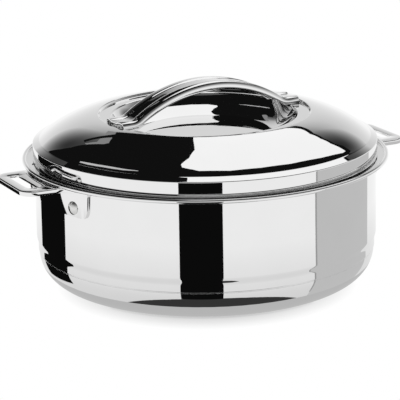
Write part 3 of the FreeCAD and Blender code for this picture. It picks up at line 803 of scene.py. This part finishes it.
def handle_plate():
    """The flat of a side handle with its slot and its turned-down free edge, on the +X side."""
    pot, grip = settings().pot, settings().grip
    high = plate_top()
    half = grip.width / 2
    reach = pot.wall_radius + grip.overhang
    seat = pot.wall_radius + grip.sheet
    spread = seat + grip.flare
    bend = math.sqrt(spread**2 - (half + grip.flare) ** 2)
    root = Vector((bend, half + grip.flare)) * (seat / spread)
    inner = root * ((pot.wall_radius + grip.sheet / 2) / seat)
    bm = bmesh.new()
    edge = Outline(bm, "flat", (root.x, root.y), high)
    edge.arc((bend, half), grip.flare, FLARE_STEPS)
    edge.line((reach, half), grip.corner)
    edge.line((reach, -half), grip.corner)
    edge.line((bend, -half))
    edge.arc((root.x, -root.y), grip.flare, FLARE_STEPS)
    edge.line((inner.x, -inner.y))
    edge.arc((inner.x, inner.y), inner.length, ROOT_STEPS)
    edge.close()
    middle = reach - grip.slot_inset
    near, far = middle - grip.slot_width / 2, middle + grip.slot_width / 2
    end = grip.slot_length / 2
    slot = Outline(bm, "flat", (near, 0), high)
    for place in ((near, end), (far, end), (far, -end), (near, -end)):
        slot.line(place, grip.slot_corner)
    slot.close()
    edge.round_bends()
    slot.round_bends()
    bmesh.ops.triangle_fill(bm, edges=bm.edges[:], use_beauty=True)

    def is_free(rim):
        """Whether an edge is on the outside of the handle, and not at the wall or round the slot."""
        place = (rim.verts[0].co + rim.verts[1].co) / 2
        in_slot = abs(place.x - middle) < grip.slot_width and abs(place.y) < end + grip.slot_corner
        return rim.is_boundary and place.xy.length > inner.length + MERGE and not in_slot

    free = [rim for rim in bm.edges if is_free(rim)]
    lip = bmesh.ops.extrude_edge_only(bm, edges=free)["geom"]
    bmesh.ops.translate(bm, verts=only(BMVert, lip), vec=-UP * grip.lip_depth)
    bmesh.ops.bevel(
        bm, geom=free, offset=grip.edge_round, offset_type="OFFSET", segments=LIP_STEPS,
        profile=0.5, affect="EDGES", material=-1,
    )
    face_outward(bm, top_face(bm), UP)
    thicken(bm, grip.sheet)
    return bm


def add_rivet(bm, outline, seat, bearing, height):
    """Spins a rivet's outline and stands it on the wall, head outward."""
    spun_solid(outline, RIVET_STEPS)
    outward = Vector((math.cos(bearing), math.sin(bearing), 0))
    turn = outward.to_track_quat("Z", "Y").to_matrix().to_4x4()
    place = Matrix.Translation(outward * seat + UP * height) @ turn
    bmesh.ops.transform(outline.bm, matrix=place, verts=outline.bm.verts[:])
    join(bm, outline.bm)


def rivet_outline(radius, head, shank, tail, tail_length, depth):
    """A rivet along its own axis: formed tail, shank and domed head, whose seat is at nought."""
    outline = Outline(bmesh.new(), "upright", (0, -depth - tail_length))
    outline.line((tail, -depth - tail_length), EDGE_BREAK)
    outline.line((tail, -depth))
    outline.line((shank, -depth))
    outline.line((shank, -HEAD_LAP))
    outline.line((radius, -HEAD_LAP))
    edge = head * HEAD_EDGE
    outline.line((radius, edge))
    rise = head - edge
    outline.arc((0, head), (radius**2 + rise**2) / (2 * rise), HEAD_STEPS)
    return outline


class SERVINGPOT_OT_handle_rivets(bpy.types.Operator):
    """Sets two domed rivets in each side handle's flange"""

    bl_idname = "serving_pot.handle_rivets"
    bl_label = "Handle Rivets"

    def execute(self, context):
        pot, grip = settings().pot, settings().grip
        seat = pot.wall_radius + grip.sheet
        height = plate_top() - grip.rivet_drop
        for side, bearing in HANDLE_SIDES.items():
            bm = bmesh.new()
            for sign in (-1, 1):
                outline = rivet_outline(grip.rivet_radius, grip.rivet_head, *GRIP_RIVET)
                add_rivet(bm, outline, seat, bearing + sign * grip.rivet_angle, height)
            node = f"{side}_handle_rivets"
            add_piece(bm, f"{side}_grip_rivets", "pot", "rivet_steel", rivet_steel(), node)
        return {"FINISHED"}


# Pieces of the lid


class SERVINGPOT_OT_lid_shell(bpy.types.Operator):
    """Presses the lid's outer skin: band, shoulder, dome, and the recess with its ring and dish"""

    bl_idname = "serving_pot.lid_shell"
    bl_label = "Lid Dome"

    def execute(self, context):
        lid = settings().lid
        dish = lid.ring_radius - lid.ring_width
        dish_low = lid.ring_top - lid.dish_depth
        dish_round = ((dish - lid.dish_floor) ** 2 + lid.dish_depth**2) / (2 * lid.dish_depth)
        outline = Outline(bmesh.new(), "upright", (lid.radius, lid.low))
        outline.line((lid.radius, lid.band_top), CRISP_BEND)
        outline.line((lid.shoulder_radius, lid.shoulder_top), CRISP_BEND)
        outline.arc((lid.recess_radius, lid.recess_top), lid.dome_round, DOME_STEPS, CRISP_BEND)
        outline.line((lid.ring_radius, lid.ring_top), CRISP_BEND)
        outline.line((dish, lid.ring_top), PRESS_BEND)
        outline.arc((lid.dish_floor, dish_low), -dish_round, DISH_STEPS)
        outline.line((0, dish_low))
        add_skin(outline, "lid_dome", "lid", "lid_shell")
        return {"FINISHED"}


class SERVINGPOT_OT_lid_pan(bpy.types.Operator):
    """Presses the lid's inner skin: a shallow tub, a flat ring and a skirt inside the band"""

    bl_idname = "serving_pot.lid_pan"
    bl_label = "Lid Pan"

    def execute(self, context):
        pot, lid = settings().pot, settings().lid
        low = lid.low - lid.pan_depth
        skirt = lid.radius - pot.sheet
        outline = Outline(bmesh.new(), "upright", (pot.plug_radius, low))
        outline.line((lid.pan_radius - lid.pan_corner, low))
        outline.arc((lid.pan_radius, low + lid.pan_corner), lid.pan_corner, PAN_STEPS)
        outline.line((lid.pan_radius, lid.low), PRESS_BEND)
        outline.line((skirt, lid.low), PRESS_BEND)
        outline.line((skirt, lid.low + lid.skirt_height))
        add_skin(outline, "lid_inner_pan", "lid", "lid_pan")
        return {"FINISHED"}


class SERVINGPOT_OT_lid_seal(bpy.types.Operator):
    """Lays the seal ring under the lid"""

    bl_idname = "serving_pot.lid_seal"
    bl_label = "Seal Ring"

    def execute(self, context):
        pot, lid, finish = settings().pot, settings().lid, settings().finish
        outside = lid.radius - lid.seal_inset
        inside = outside - lid.seal_width
        outline = Outline(bmesh.new(), "upright", ((inside + outside) / 2, pot.ledge_height))
        for place in (
            (outside, pot.ledge_height), (outside, lid.low), (inside, lid.low), (inside, pot.ledge_height)
        ):
            outline.line(place, EDGE_BREAK)
        outline.close()
        spun_solid(outline, ROUND_STEPS)
        rubber = moulded(
            "black_rubber", finish.rubber, roughness=0.6, scale=1500.0, depth=0.0001, spread=0.15
        )
        add_piece(outline.bm, "seal_ring", "lid", "seal_rubber", rubber, "lid_seal")
        return {"FINISHED"}


class SERVINGPOT_OT_lid_rivets(bpy.types.Operator):
    """Sets the two small rivets in the lid's band"""

    bl_idname = "serving_pot.lid_rivets"
    bl_label = "Band Rivets"

    def execute(self, context):
        lid = settings().lid
        bm = bmesh.new()
        for bearing in HANDLE_SIDES.values():
            outline = rivet_outline(lid.rivet_radius, lid.rivet_head, *BAND_RIVET)
            add_rivet(bm, outline, lid.radius, bearing + lid.rivet_angle, lid.low + lid.rivet_height)
        add_piece(bm, "band_rivets", "lid", "rivet_steel", rivet_steel(), "lid_band_rivets")
        return {"FINISHED"}


class SERVINGPOT_OT_lid_handle(bpy.types.Operator):
    """Presses the strap handle: an arch with turned-down sides, a channel and a pad at each foot"""

    bl_idname = "serving_pot.lid_handle"
    bl_label = "Strap Handle"

    def execute(self, context):
        strap = settings().strap
        bm = strap_top()
        turn_down_sides(bm)
        face_outward(bm, top_face(bm), UP)
        thicken(bm, strap.sheet)
        soften_edges(bm)
        turn = Matrix.Rotation(strap.turn, 3, "Z")
        bmesh.ops.rotate(bm, verts=bm.verts[:], cent=(0, 0, 0), matrix=turn)
        add_piece(bm, "strap_handle", "lid", "polished_steel", polished_steel(), "lid_handle")
        return {"FINISHED"}


def strap_top():
    """The strap's top along X, as an open sheet: the arch with its channel, the foot bends and the pads."""
    strap = settings().strap
    pad_start, pad_end, pad_top, arch, crest = strap_shape()
    half = strap.width / 2
    channel = strap.channel_width / 2
    channel_floor = channel - strap.channel_wall
    side_top = crest - strap.edge_round - SIDE_START
    bm = bmesh.new()
    section = Outline(bm, "across", (half, side_top))
    section.line((half, crest), strap.edge_round)
    section.line((channel, crest), CHANNEL_BEND)
    section.line((channel_floor, crest - strap.channel_depth), CHANNEL_BEND)
    section.line((-channel_floor, crest - strap.channel_depth), CHANNEL_BEND)
    section.line((-channel, crest), CHANNEL_BEND)
    section.line((-half, crest), strap.edge_round)
    section.line((-half, side_top))
    section.round_bends()
    along_y = Vector((0, 1, 0))
    last = bm.verts[:] + bm.edges[:]
    for centre, turn, steps in (
        ((0, 0, crest - arch), strap.arch_angle, ARCH_STEPS),
        ((pad_start, 0, pad_top + strap.foot_bend), -strap.arch_angle, FOOT_STEPS),
    ):
        last = bmesh.ops.spin(
            bm, geom=last, cent=centre, axis=along_y, angle=turn, steps=steps, use_merge=False
        )["geom_last"]
    pad = bmesh.ops.extrude_edge_only(bm, edges=only(BMEdge, last))["geom"]
    for vertex in only(BMVert, pad):
        vertex.co.x = math.sqrt(pad_end**2 - vertex.co.y**2)
    bmesh.ops.mirror(bm, geom=whole(bm), axis="X", merge_dist=MERGE)
    bmesh.ops.remove_doubles(bm, verts=bm.verts[:], dist=MERGE)
    return bm


def turn_down_sides(bm):
    """Turns the strap's sides down to a hollow curve, and cuts them level with the ring they stand on."""
    lid, strap = settings().lid, settings().strap
    _, pad_end, _, _, crest = strap_shape()
    half = strap.width / 2
    reach = pad_end - strap.foot_length
    rise = crest - strap.side - lid.ring_top
    belly = (reach**2 + rise**2) / (2 * rise)
    sides = [
        edge for edge in bm.edges
        if edge.is_boundary and all(abs(abs(vertex.co.y) - half) < MERGE for vertex in edge.verts)
        and abs(edge.verts[0].co.x - edge.verts[1].co.x) > MERGE
    ]
    low = bmesh.ops.extrude_edge_only(bm, edges=sides)["geom"]
    for vertex in only(BMVert, low):
        along = min(abs(vertex.co.x), belly)
        hollow = lid.ring_top + rise - belly + math.sqrt(belly**2 - along**2)
        vertex.co.z = min(max(hollow, lid.ring_top - SIDE_SINK), vertex.co.z - SIDE_LEAST)
    bmesh.ops.bisect_plane(
        bm, geom=whole(bm), plane_co=(0, 0, lid.ring_top), plane_no=UP, clear_inner=True, dist=MERGE
    )


class SERVINGPOT_OT_inner_parts(bpy.types.Operator):
    """Finishes the parts inside: insulation, plugs, washers, studs and nuts"""

    bl_idname = "serving_pot.inner_parts"
    bl_label = "Inner Parts"

    def execute(self, context):
        finish = settings().finish
        foam = moulded("rigid_foam", finish.foam, roughness=0.9, scale=700.0, depth=0.0008, spread=0.10)
        plastic = moulded(
            "dark_plastic", finish.plastic, roughness=0.45, scale=1200.0, depth=0.0001, spread=0.12
        )
        finishes = {
            foam: ("body_insulation", "lid_insulation"),
            plastic: ("base_plug", "lid_plug"),
            rivet_steel(): (
                "left_rivet_washers", "right_rivet_washers",
                "lid_handle_studs", "lid_handle_washers", "lid_handle_nuts",
            ),
        }
        for material, names in finishes.items():
            for name in names:
                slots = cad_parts[name].data.materials
                slots.clear()
                slots.append(material)
        return {"FINISHED"}


# The studio


# Half the side of the floor
FLOOR_HALF = 6.0
# The shadow lies this far in front of the pot, and fades out between two distances from its middle
SHADOW_SHIFT = 0.025
SHADOW_NEAR = 0.060
SHADOW_FAR = 0.123
# In mirrors the floor is this bright where the shadow ends, and white from this distance on: a painted shade
# round the pot
MIRROR_FLOOR_SHADE = 0.78
FLOOR_WHITE = 0.32
# Cards on the floor: the bearings that their images stand between, in degrees from the camera's side, how far
# off the wall they start, and how bright they are
FLOOR_CARDS = (
    ("left_card", -73.5, -54.3, 0.020, 0.004),
    ("front_card", -8.8, 5.4, 0.026, 0.004),
    ("right_card", 38.9, 69.3, -0.012, 0.60),
    ("edge_card", 38.4, 39.1, 0.010, 0.36),
)
# How far off the wall those cards end, and how high they lie
CARD_END = 0.7
CARD_LIFT = 0.001
# Round cards on the floor: their middles to the camera's right and towards it, their radii, how high they lie
# and how bright they are. front_shade is a painted shade on the floor in front of the pot, and foot_light
# paints the shaded floor under the base a lighter grey; only mirrors show them
FLOOR_DISCS = (
    ("front_shade", (0.0032, 0.0897), 0.0805, 0.0005, 0.04),
    ("foot_light", (0, 0), 0.140, 0.0015, 0.55),
)
# How finely a round card's edge is divided
DISC_STEPS = 64
# How bright the studio's backdrop is by the upward part of the way to it
BACKDROP = (
    (0.0, 1.0), (0.105, 0.89), (0.21, 0.78), (0.33, 0.66),
    (0.42, 0.50), (0.48, 0.34), (0.58, 0.19), (0.75, 0.12),
)
# Cards overhead: how high, how bright, and their corners as two angles from straight up, to the camera's
# right and away from it
SKY_CARDS = (
    ("ceiling", 8.0, 0.006, (
        (-60, 65), (-46, 64), (-38, 58.5), (-34.5, 52), (-31, 49), (-28, 48.5), (-24, 47.3), (-20, 45.5),
        (-18, 46.5), (-15, 52), (-12, 57.5), (-9.5, 62.5), (1, 66), (8, 67), (12, 62.5), (17.8, 55.3),
        (23.8, 50.3), (30, 47.2), (33.5, 48), (38.5, 46.8), (40, 42), (38.8, 26), (38, 0), (30, -25),
        (-40, -25), (-76, 0), (-76, 30),
    )),
    ("softbox", 7.9, 1.08, (
        (-1, 62), (-2, 35), (-4, 22), (-7, 13), (-7, 9), (-2, 4), (8, 4), (17.5, 9), (26, 16.5), (33.5, 29),
        (37.5, 41), (37.3, 44), (29, 46), (23, 49.5), (17, 54.5), (11.5, 61.5), (7, 66),
    )),
    ("strip_lamp", 7.9, 0.6, (
        (-37.1, 31.1), (-35.8, 26.1), (-33.8, 22.1), (-29.8, 15.7), (-26.4, 11.6), (-22, 8.5),
        (-21.6, 8.9), (-25.2, 12.4), (-28.2, 16.7), (-32.2, 23.1), (-34.2, 27.1), (-36.1, 31.7),
    )),
    ("wall_edge", 7.8, 0.26, (
        (-25, 47.6), (-20, 45.5), (-18, 46.5), (-15, 52), (-12, 57.5), (-9.5, 62.5), (-11, 63), (-14, 58),
        (-17.5, 53), (-20.5, 49), (-25, 49),
    )),
)
# Dark corners of the studio, by the same two angles, how wide they are and how much light is left in them
DARK_CORNERS = ((-31, 54), (33, 49))
CORNER_REACH = math.radians(16)
CORNER_LIGHT = 0.1
# A dark card close above the strap: how high, how bright, and its corners' places to the camera's right and
# away from it
STRAP_CARD_HEIGHT = 0.363
STRAP_CARD_TONE = 0.006
STRAP_CARD = (
    (-0.245, 0.282), (-0.20, 0.288), (-0.18, 0.297), (-0.165, 0.305), (-0.145, 0.325), (-0.13, 0.345),
    (-0.105, 0.37), (-0.085, 0.40), (-0.07, 0.36), (-0.08, 0.27), (-0.10, 0.20), (-0.135, 0.20),
    (-0.15, 0.262), (-0.245, 0.252),
)
# How strongly the white surroundings light the pot
SURROUND = 0.4
# The lamp overhead: how strong, how wide and how far it leans
LAMP_STRENGTH = 2.0
LAMP_WIDTH = math.radians(44)
LAMP_LEAN = math.radians(10)
# Width of the camera's sensor in millimetres
SENSOR_WIDTH = 36
# Where a colour mix node has its two colours and its result
MIX_FIRST = 6
MIX_SECOND = 7
MIX_RESULT = 2


def stage_material(name):
    """An empty material for something that only stands round the pot."""
    material = bpy.data.materials.new(name)
    material.use_nodes = True
    material.node_tree.nodes.clear()
    tree = material.node_tree
    return material, tree, tree.nodes.new("ShaderNodeOutputMaterial")


def seen_directly(tree):
    """1 for rays from the camera, in mirrors and through glass, and 0 for light that falls on things."""
    path = tree.nodes.new("ShaderNodeLightPath")
    either = math_node(tree, "MAXIMUM", path.outputs["Is Camera Ray"], path.outputs["Is Glossy Ray"])
    return math_node(tree, "MAXIMUM", either, path.outputs["Is Transmission Ray"])


def front_side():
    """The level way from the pot towards the camera."""
    azimuth = settings().stage.azimuth
    return Vector((math.sin(azimuth), -math.cos(azimuth), 0))


def floor_material(colour):
    """A floor that keeps the pot's shadow close to it, and is plain white further out. In mirrors its glow is
    dimmer round the shadow, a painted shade.
    """
    material, tree, output = stage_material("floor")
    matt = tree.nodes.new("ShaderNodeBsdfDiffuse")
    matt.inputs["Color"].default_value = (*colour, 1)
    glow = tree.nodes.new("ShaderNodeEmission")
    places = tree.nodes.new("ShaderNodeTexCoord")
    run = tree.nodes.new("ShaderNodeVectorMath")
    run.operation = "DISTANCE"
    run.inputs[1].default_value = front_side() * SHADOW_SHIFT
    tree.links.new(places.outputs["Object"], run.inputs[0])
    fade = tree.nodes.new("ShaderNodeMapRange")
    fade.inputs["From Min"].default_value = SHADOW_NEAR
    fade.inputs["From Max"].default_value = SHADOW_FAR
    tree.links.new(run.outputs["Value"], fade.inputs["Value"])
    # Painted shade: in mirrors the floor glows dimmer near the pot and grows to white further out
    painted_floor_shade = tree.nodes.new("ShaderNodeMapRange")
    painted_floor_shade.inputs["From Min"].default_value = SHADOW_FAR
    painted_floor_shade.inputs["From Max"].default_value = FLOOR_WHITE
    painted_floor_shade.inputs["To Min"].default_value = MIRROR_FLOOR_SHADE
    tree.links.new(run.outputs["Value"], painted_floor_shade.inputs["Value"])
    path = tree.nodes.new("ShaderNodeLightPath")
    strength = math_node(tree, "MAXIMUM", painted_floor_shade.outputs["Result"], path.outputs["Is Camera Ray"])
    tree.links.new(strength, glow.inputs["Strength"])
    mix = tree.nodes.new("ShaderNodeMixShader")
    white = math_node(tree, "MULTIPLY", fade.outputs["Result"], seen_directly(tree))
    tree.links.new(white, mix.inputs["Fac"])
    tree.links.new(matt.outputs["BSDF"], mix.inputs[1])
    tree.links.new(glow.outputs["Emission"], mix.inputs[2])
    tree.links.new(mix.outputs["Shader"], output.inputs["Surface"])
    return material


def card_material(name, tone):
    """A plain studio card, seen only in mirrors."""
    material, tree, output = stage_material(name)
    glow = tree.nodes.new("ShaderNodeEmission")
    glow.inputs["Color"].default_value = (tone, tone, tone, 1)
    tree.links.new(glow.outputs["Emission"], output.inputs["Surface"])
    return material


def stage_sheet(name, corners, material):
    """One flat sheet that stands round the pot."""
    bm = bmesh.new()
    bm.faces.new([bm.verts.new(corner) for corner in corners])
    mesh = bpy.data.meshes.new(name)
    bm.to_mesh(mesh)
    bm.free()
    sheet = bpy.data.objects.new(name, mesh)
    bpy.context.scene.collection.objects.link(sheet)
    mesh.materials.append(material)
    return sheet


def studio_card(name, corners, tone):
    """A card that shows only as a reflection in the steel."""
    card = stage_sheet(name, corners, card_material(name, tone))
    card.visible_camera = False
    card.visible_diffuse = False
    card.visible_shadow = False
    card.visible_transmission = False


def floor_card(name, first, last, start, tone):
    """A card on the floor, off the wall, whose image stands upright between two bearings."""
    pot, stage = settings().pot, settings().stage
    front = stage.azimuth - math.pi / 2

    def place(bearing, run):
        """The place on the floor that the wall shows at a bearing, this far off the wall."""
        wall = Vector((math.cos(front + bearing), math.sin(front + bearing), 0))
        away = Vector((math.cos(front + 2 * bearing), math.sin(front + 2 * bearing), 0))
        return wall * pot.wall_radius + away * run + UP * CARD_LIFT

    first, last = math.radians(first), math.radians(last)
    corners = [place(first, start), place(last, start), place(last, CARD_END), place(first, CARD_END)]
    studio_card(name, corners, tone)


def floor_disc(name, shift, radius, height, tone):
    """A round card on the floor, shifted to the camera's right and towards it."""
    rightward, forward = shift
    middle = seen_place(rightward, -forward, height)
    turns = (2 * math.pi * step / DISC_STEPS for step in range(DISC_STEPS))
    edge = [middle + Vector((math.cos(turn), math.sin(turn), 0)) * radius for turn in turns]
    studio_card(name, edge, tone)


def seen_place(rightward, backward, height):
    """A place given by the camera's right, the level way from the camera, and up."""
    azimuth = settings().stage.azimuth
    right = Vector((math.cos(azimuth), math.sin(azimuth), 0))
    return right * rightward - front_side() * backward + UP * height


def sky_place(rightward, backward, height):
    """A place overhead, given by two angles from straight up."""
    lean = math.hypot(rightward, backward)
    run = height * math.tan(math.radians(lean)) / lean
    return seen_place(rightward * run, backward * run, height)


def sky_card(name, height, tone, corners):
    """A card overhead, whose corners are angles from straight up."""
    studio_card(name, [sky_place(*corner, height) for corner in corners], tone)


def dark_corner(tree, way, corner):
    """How much light is left round a dark corner of the studio."""
    near = tree.nodes.new("ShaderNodeVectorMath")
    near.operation = "DOT_PRODUCT"
    near.inputs[1].default_value = sky_place(*corner, 1).normalized()
    tree.links.new(way, near.inputs[0])
    light = tree.nodes.new("ShaderNodeMapRange")
    light.inputs["From Min"].default_value = math.cos(CORNER_REACH)
    light.inputs["To Min"].default_value = 1
    light.inputs["To Max"].default_value = CORNER_LIGHT
    tree.links.new(near.outputs["Value"], light.inputs["Value"])
    return light.outputs["Result"]


def lay_floor():
    """Lays the white floor."""
    half = FLOOR_HALF
    corners = [(-half, -half, 0), (half, -half, 0), (half, half, 0), (-half, half, 0)]
    stage_sheet("floor", corners, floor_material(settings().stage.floor))


def set_out_cards():
    """Sets out the cards that the steel mirrors."""
    for card in FLOOR_CARDS:
        floor_card(*card)
    for disc in FLOOR_DISCS:
        floor_disc(*disc)
    for card in SKY_CARDS:
        sky_card(*card)
    corners = [seen_place(*corner, STRAP_CARD_HEIGHT) for corner in STRAP_CARD]
    studio_card("strap_card", corners, STRAP_CARD_TONE)


def light_studio(scene):
    """Makes the surroundings: white to the eye, and a backdrop with dark corners in mirrors."""
    world = bpy.data.worlds.new("studio")
    scene.world = world
    world.use_nodes = True
    tree = world.node_tree
    back = tree.nodes["Background"]
    places = tree.nodes.new("ShaderNodeTexCoord")
    split = tree.nodes.new("ShaderNodeSeparateXYZ")
    tree.links.new(places.outputs["Generated"], split.inputs["Vector"])
    fade = tree.nodes.new("ShaderNodeValToRGB")
    tree.links.new(split.outputs["Z"], fade.inputs["Fac"])
    steps = fade.color_ramp.elements
    while len(steps) < len(BACKDROP):
        steps.new(1.0)
    for step, (rise, tone) in zip(steps, BACKDROP):
        step.position = rise
        step.color = (tone, tone, tone, 1)
    corners = [dark_corner(tree, places.outputs["Generated"], corner) for corner in DARK_CORNERS]
    dim = tree.nodes.new("ShaderNodeVectorMath")
    dim.operation = "SCALE"
    tree.links.new(fade.outputs["Color"], dim.inputs["Vector"])
    tree.links.new(math_node(tree, "MULTIPLY", *corners), dim.inputs["Scale"])
    path = tree.nodes.new("ShaderNodeLightPath")
    shown = tree.nodes.new("ShaderNodeMix")
    shown.data_type = "RGBA"
    shown.inputs[MIX_FIRST].default_value = (1, 1, 1, 1)
    tree.links.new(path.outputs["Is Glossy Ray"], shown.inputs["Factor"])
    tree.links.new(dim.outputs["Vector"], shown.inputs[MIX_SECOND])
    tree.links.new(shown.outputs[MIX_RESULT], back.inputs["Color"])
    seen = math_node(tree, "MULTIPLY", seen_directly(tree), 1 - SURROUND)
    tree.links.new(math_node(tree, "ADD", seen, SURROUND), back.inputs["Strength"])


def hang_lamp(scene):
    """Hangs one wide lamp overhead, which mirrors do not show."""
    lamp = bpy.data.lights.new("overhead", "SUN")
    lamp.energy = LAMP_STRENGTH
    lamp.angle = LAMP_WIDTH
    overhead = bpy.data.objects.new("overhead", lamp)
    overhead.rotation_euler = (-LAMP_LEAN, 0, settings().stage.azimuth)
    scene.collection.objects.link(overhead)
    overhead.visible_glossy = False


def set_up_camera(scene):
    """Stands the camera where the pot is looked at from."""
    stage = settings().stage
    data = bpy.data.cameras.new("camera")
    data.lens = stage.lens
    data.sensor_width = SENSOR_WIDTH
    camera = bpy.data.objects.new("camera", data)
    scene.collection.objects.link(camera)
    level = math.cos(stage.elevation)
    rightward = math.sin(stage.azimuth) * level
    forward = math.cos(stage.azimuth) * level
    away = Vector((rightward, -forward, math.sin(stage.elevation)))
    camera.location = UP * stage.aim_height + away * stage.distance
    camera.rotation_mode = "QUATERNION"
    camera.rotation_quaternion = (
        (-away).to_track_quat("-Z", "Y")
        @ Quaternion((0, 1, 0), stage.pan)
        @ Quaternion((1, 0, 0), stage.tilt)
        @ Quaternion((0, 0, -1), stage.roll)
    )
    scene.camera = camera


class SERVINGPOT_OT_stage(bpy.types.Operator):
    """Sets up the floor, the light, the cards that the steel mirrors, and the camera"""

    bl_idname = "serving_pot.stage"
    bl_label = "Stage"

    def execute(self, context):
        scene = context.scene
        scene.view_settings.view_transform = "Standard"
        lay_floor()
        set_out_cards()
        light_studio(scene)
        hang_lamp(scene)
        set_up_camera(scene)
        return {"FINISHED"}


OPERATORS = (
    SERVINGPOT_OT_base_pan,
    SERVINGPOT_OT_outer_shell,
    SERVINGPOT_OT_inner_liner,
    SERVINGPOT_OT_side_handles,
    SERVINGPOT_OT_handle_rivets,
    SERVINGPOT_OT_lid_shell,
    SERVINGPOT_OT_lid_pan,
    SERVINGPOT_OT_lid_seal,
    SERVINGPOT_OT_lid_rivets,
    SERVINGPOT_OT_lid_handle,
    SERVINGPOT_OT_inner_parts,
    SERVINGPOT_OT_stage,
)


class SERVINGPOT_PT_panel(bpy.types.Panel):
    """Lists the pieces of the pot and the values behind them"""

    bl_idname = "SERVINGPOT_PT_panel"
    bl_label = "Serving Pot"
    bl_space_type = "VIEW_3D"
    bl_region_type = "UI"
    bl_category = "Serving Pot"

    def draw(self, context):
        for operator in OPERATORS:
            self.layout.operator(operator.bl_idname)
        chosen = settings()
        for part in (chosen.pot, chosen.grip, chosen.lid, chosen.strap, chosen.finish, chosen.stage):
            box = self.layout.box()
            box.label(text=type(part).__doc__)
            for name in type(part).__annotations__:
                box.prop(part, name)


GROUPS = (PotSizes, GripSizes, LidSizes, StrapSizes, Finishes, StageSettings, ServingPot)
CLASSES = GROUPS + OPERATORS + (SERVINGPOT_PT_panel,)


def register():
    """Adds the classes and the settings to Blender."""
    for cls in CLASSES:
        bpy.utils.register_class(cls)
    bpy.types.Scene.serving_pot = PointerProperty(type=ServingPot)


def unregister():
    """Takes them out again."""
    del bpy.types.Scene.serving_pot
    for cls in reversed(CLASSES):
        bpy.utils.unregister_class(cls)


def main():
    """Builds the pot and the stage."""
    register()
    build = bpy.ops.serving_pot
    build.base_pan()
    build.outer_shell()
    build.inner_liner()
    build.side_handles()
    build.handle_rivets()
    build.lid_shell()
    build.lid_pan()
    build.lid_seal()
    build.lid_rivets()
    build.lid_handle()
    build.inner_parts()
    build.stage()


if __name__ == "__main__":
    main()
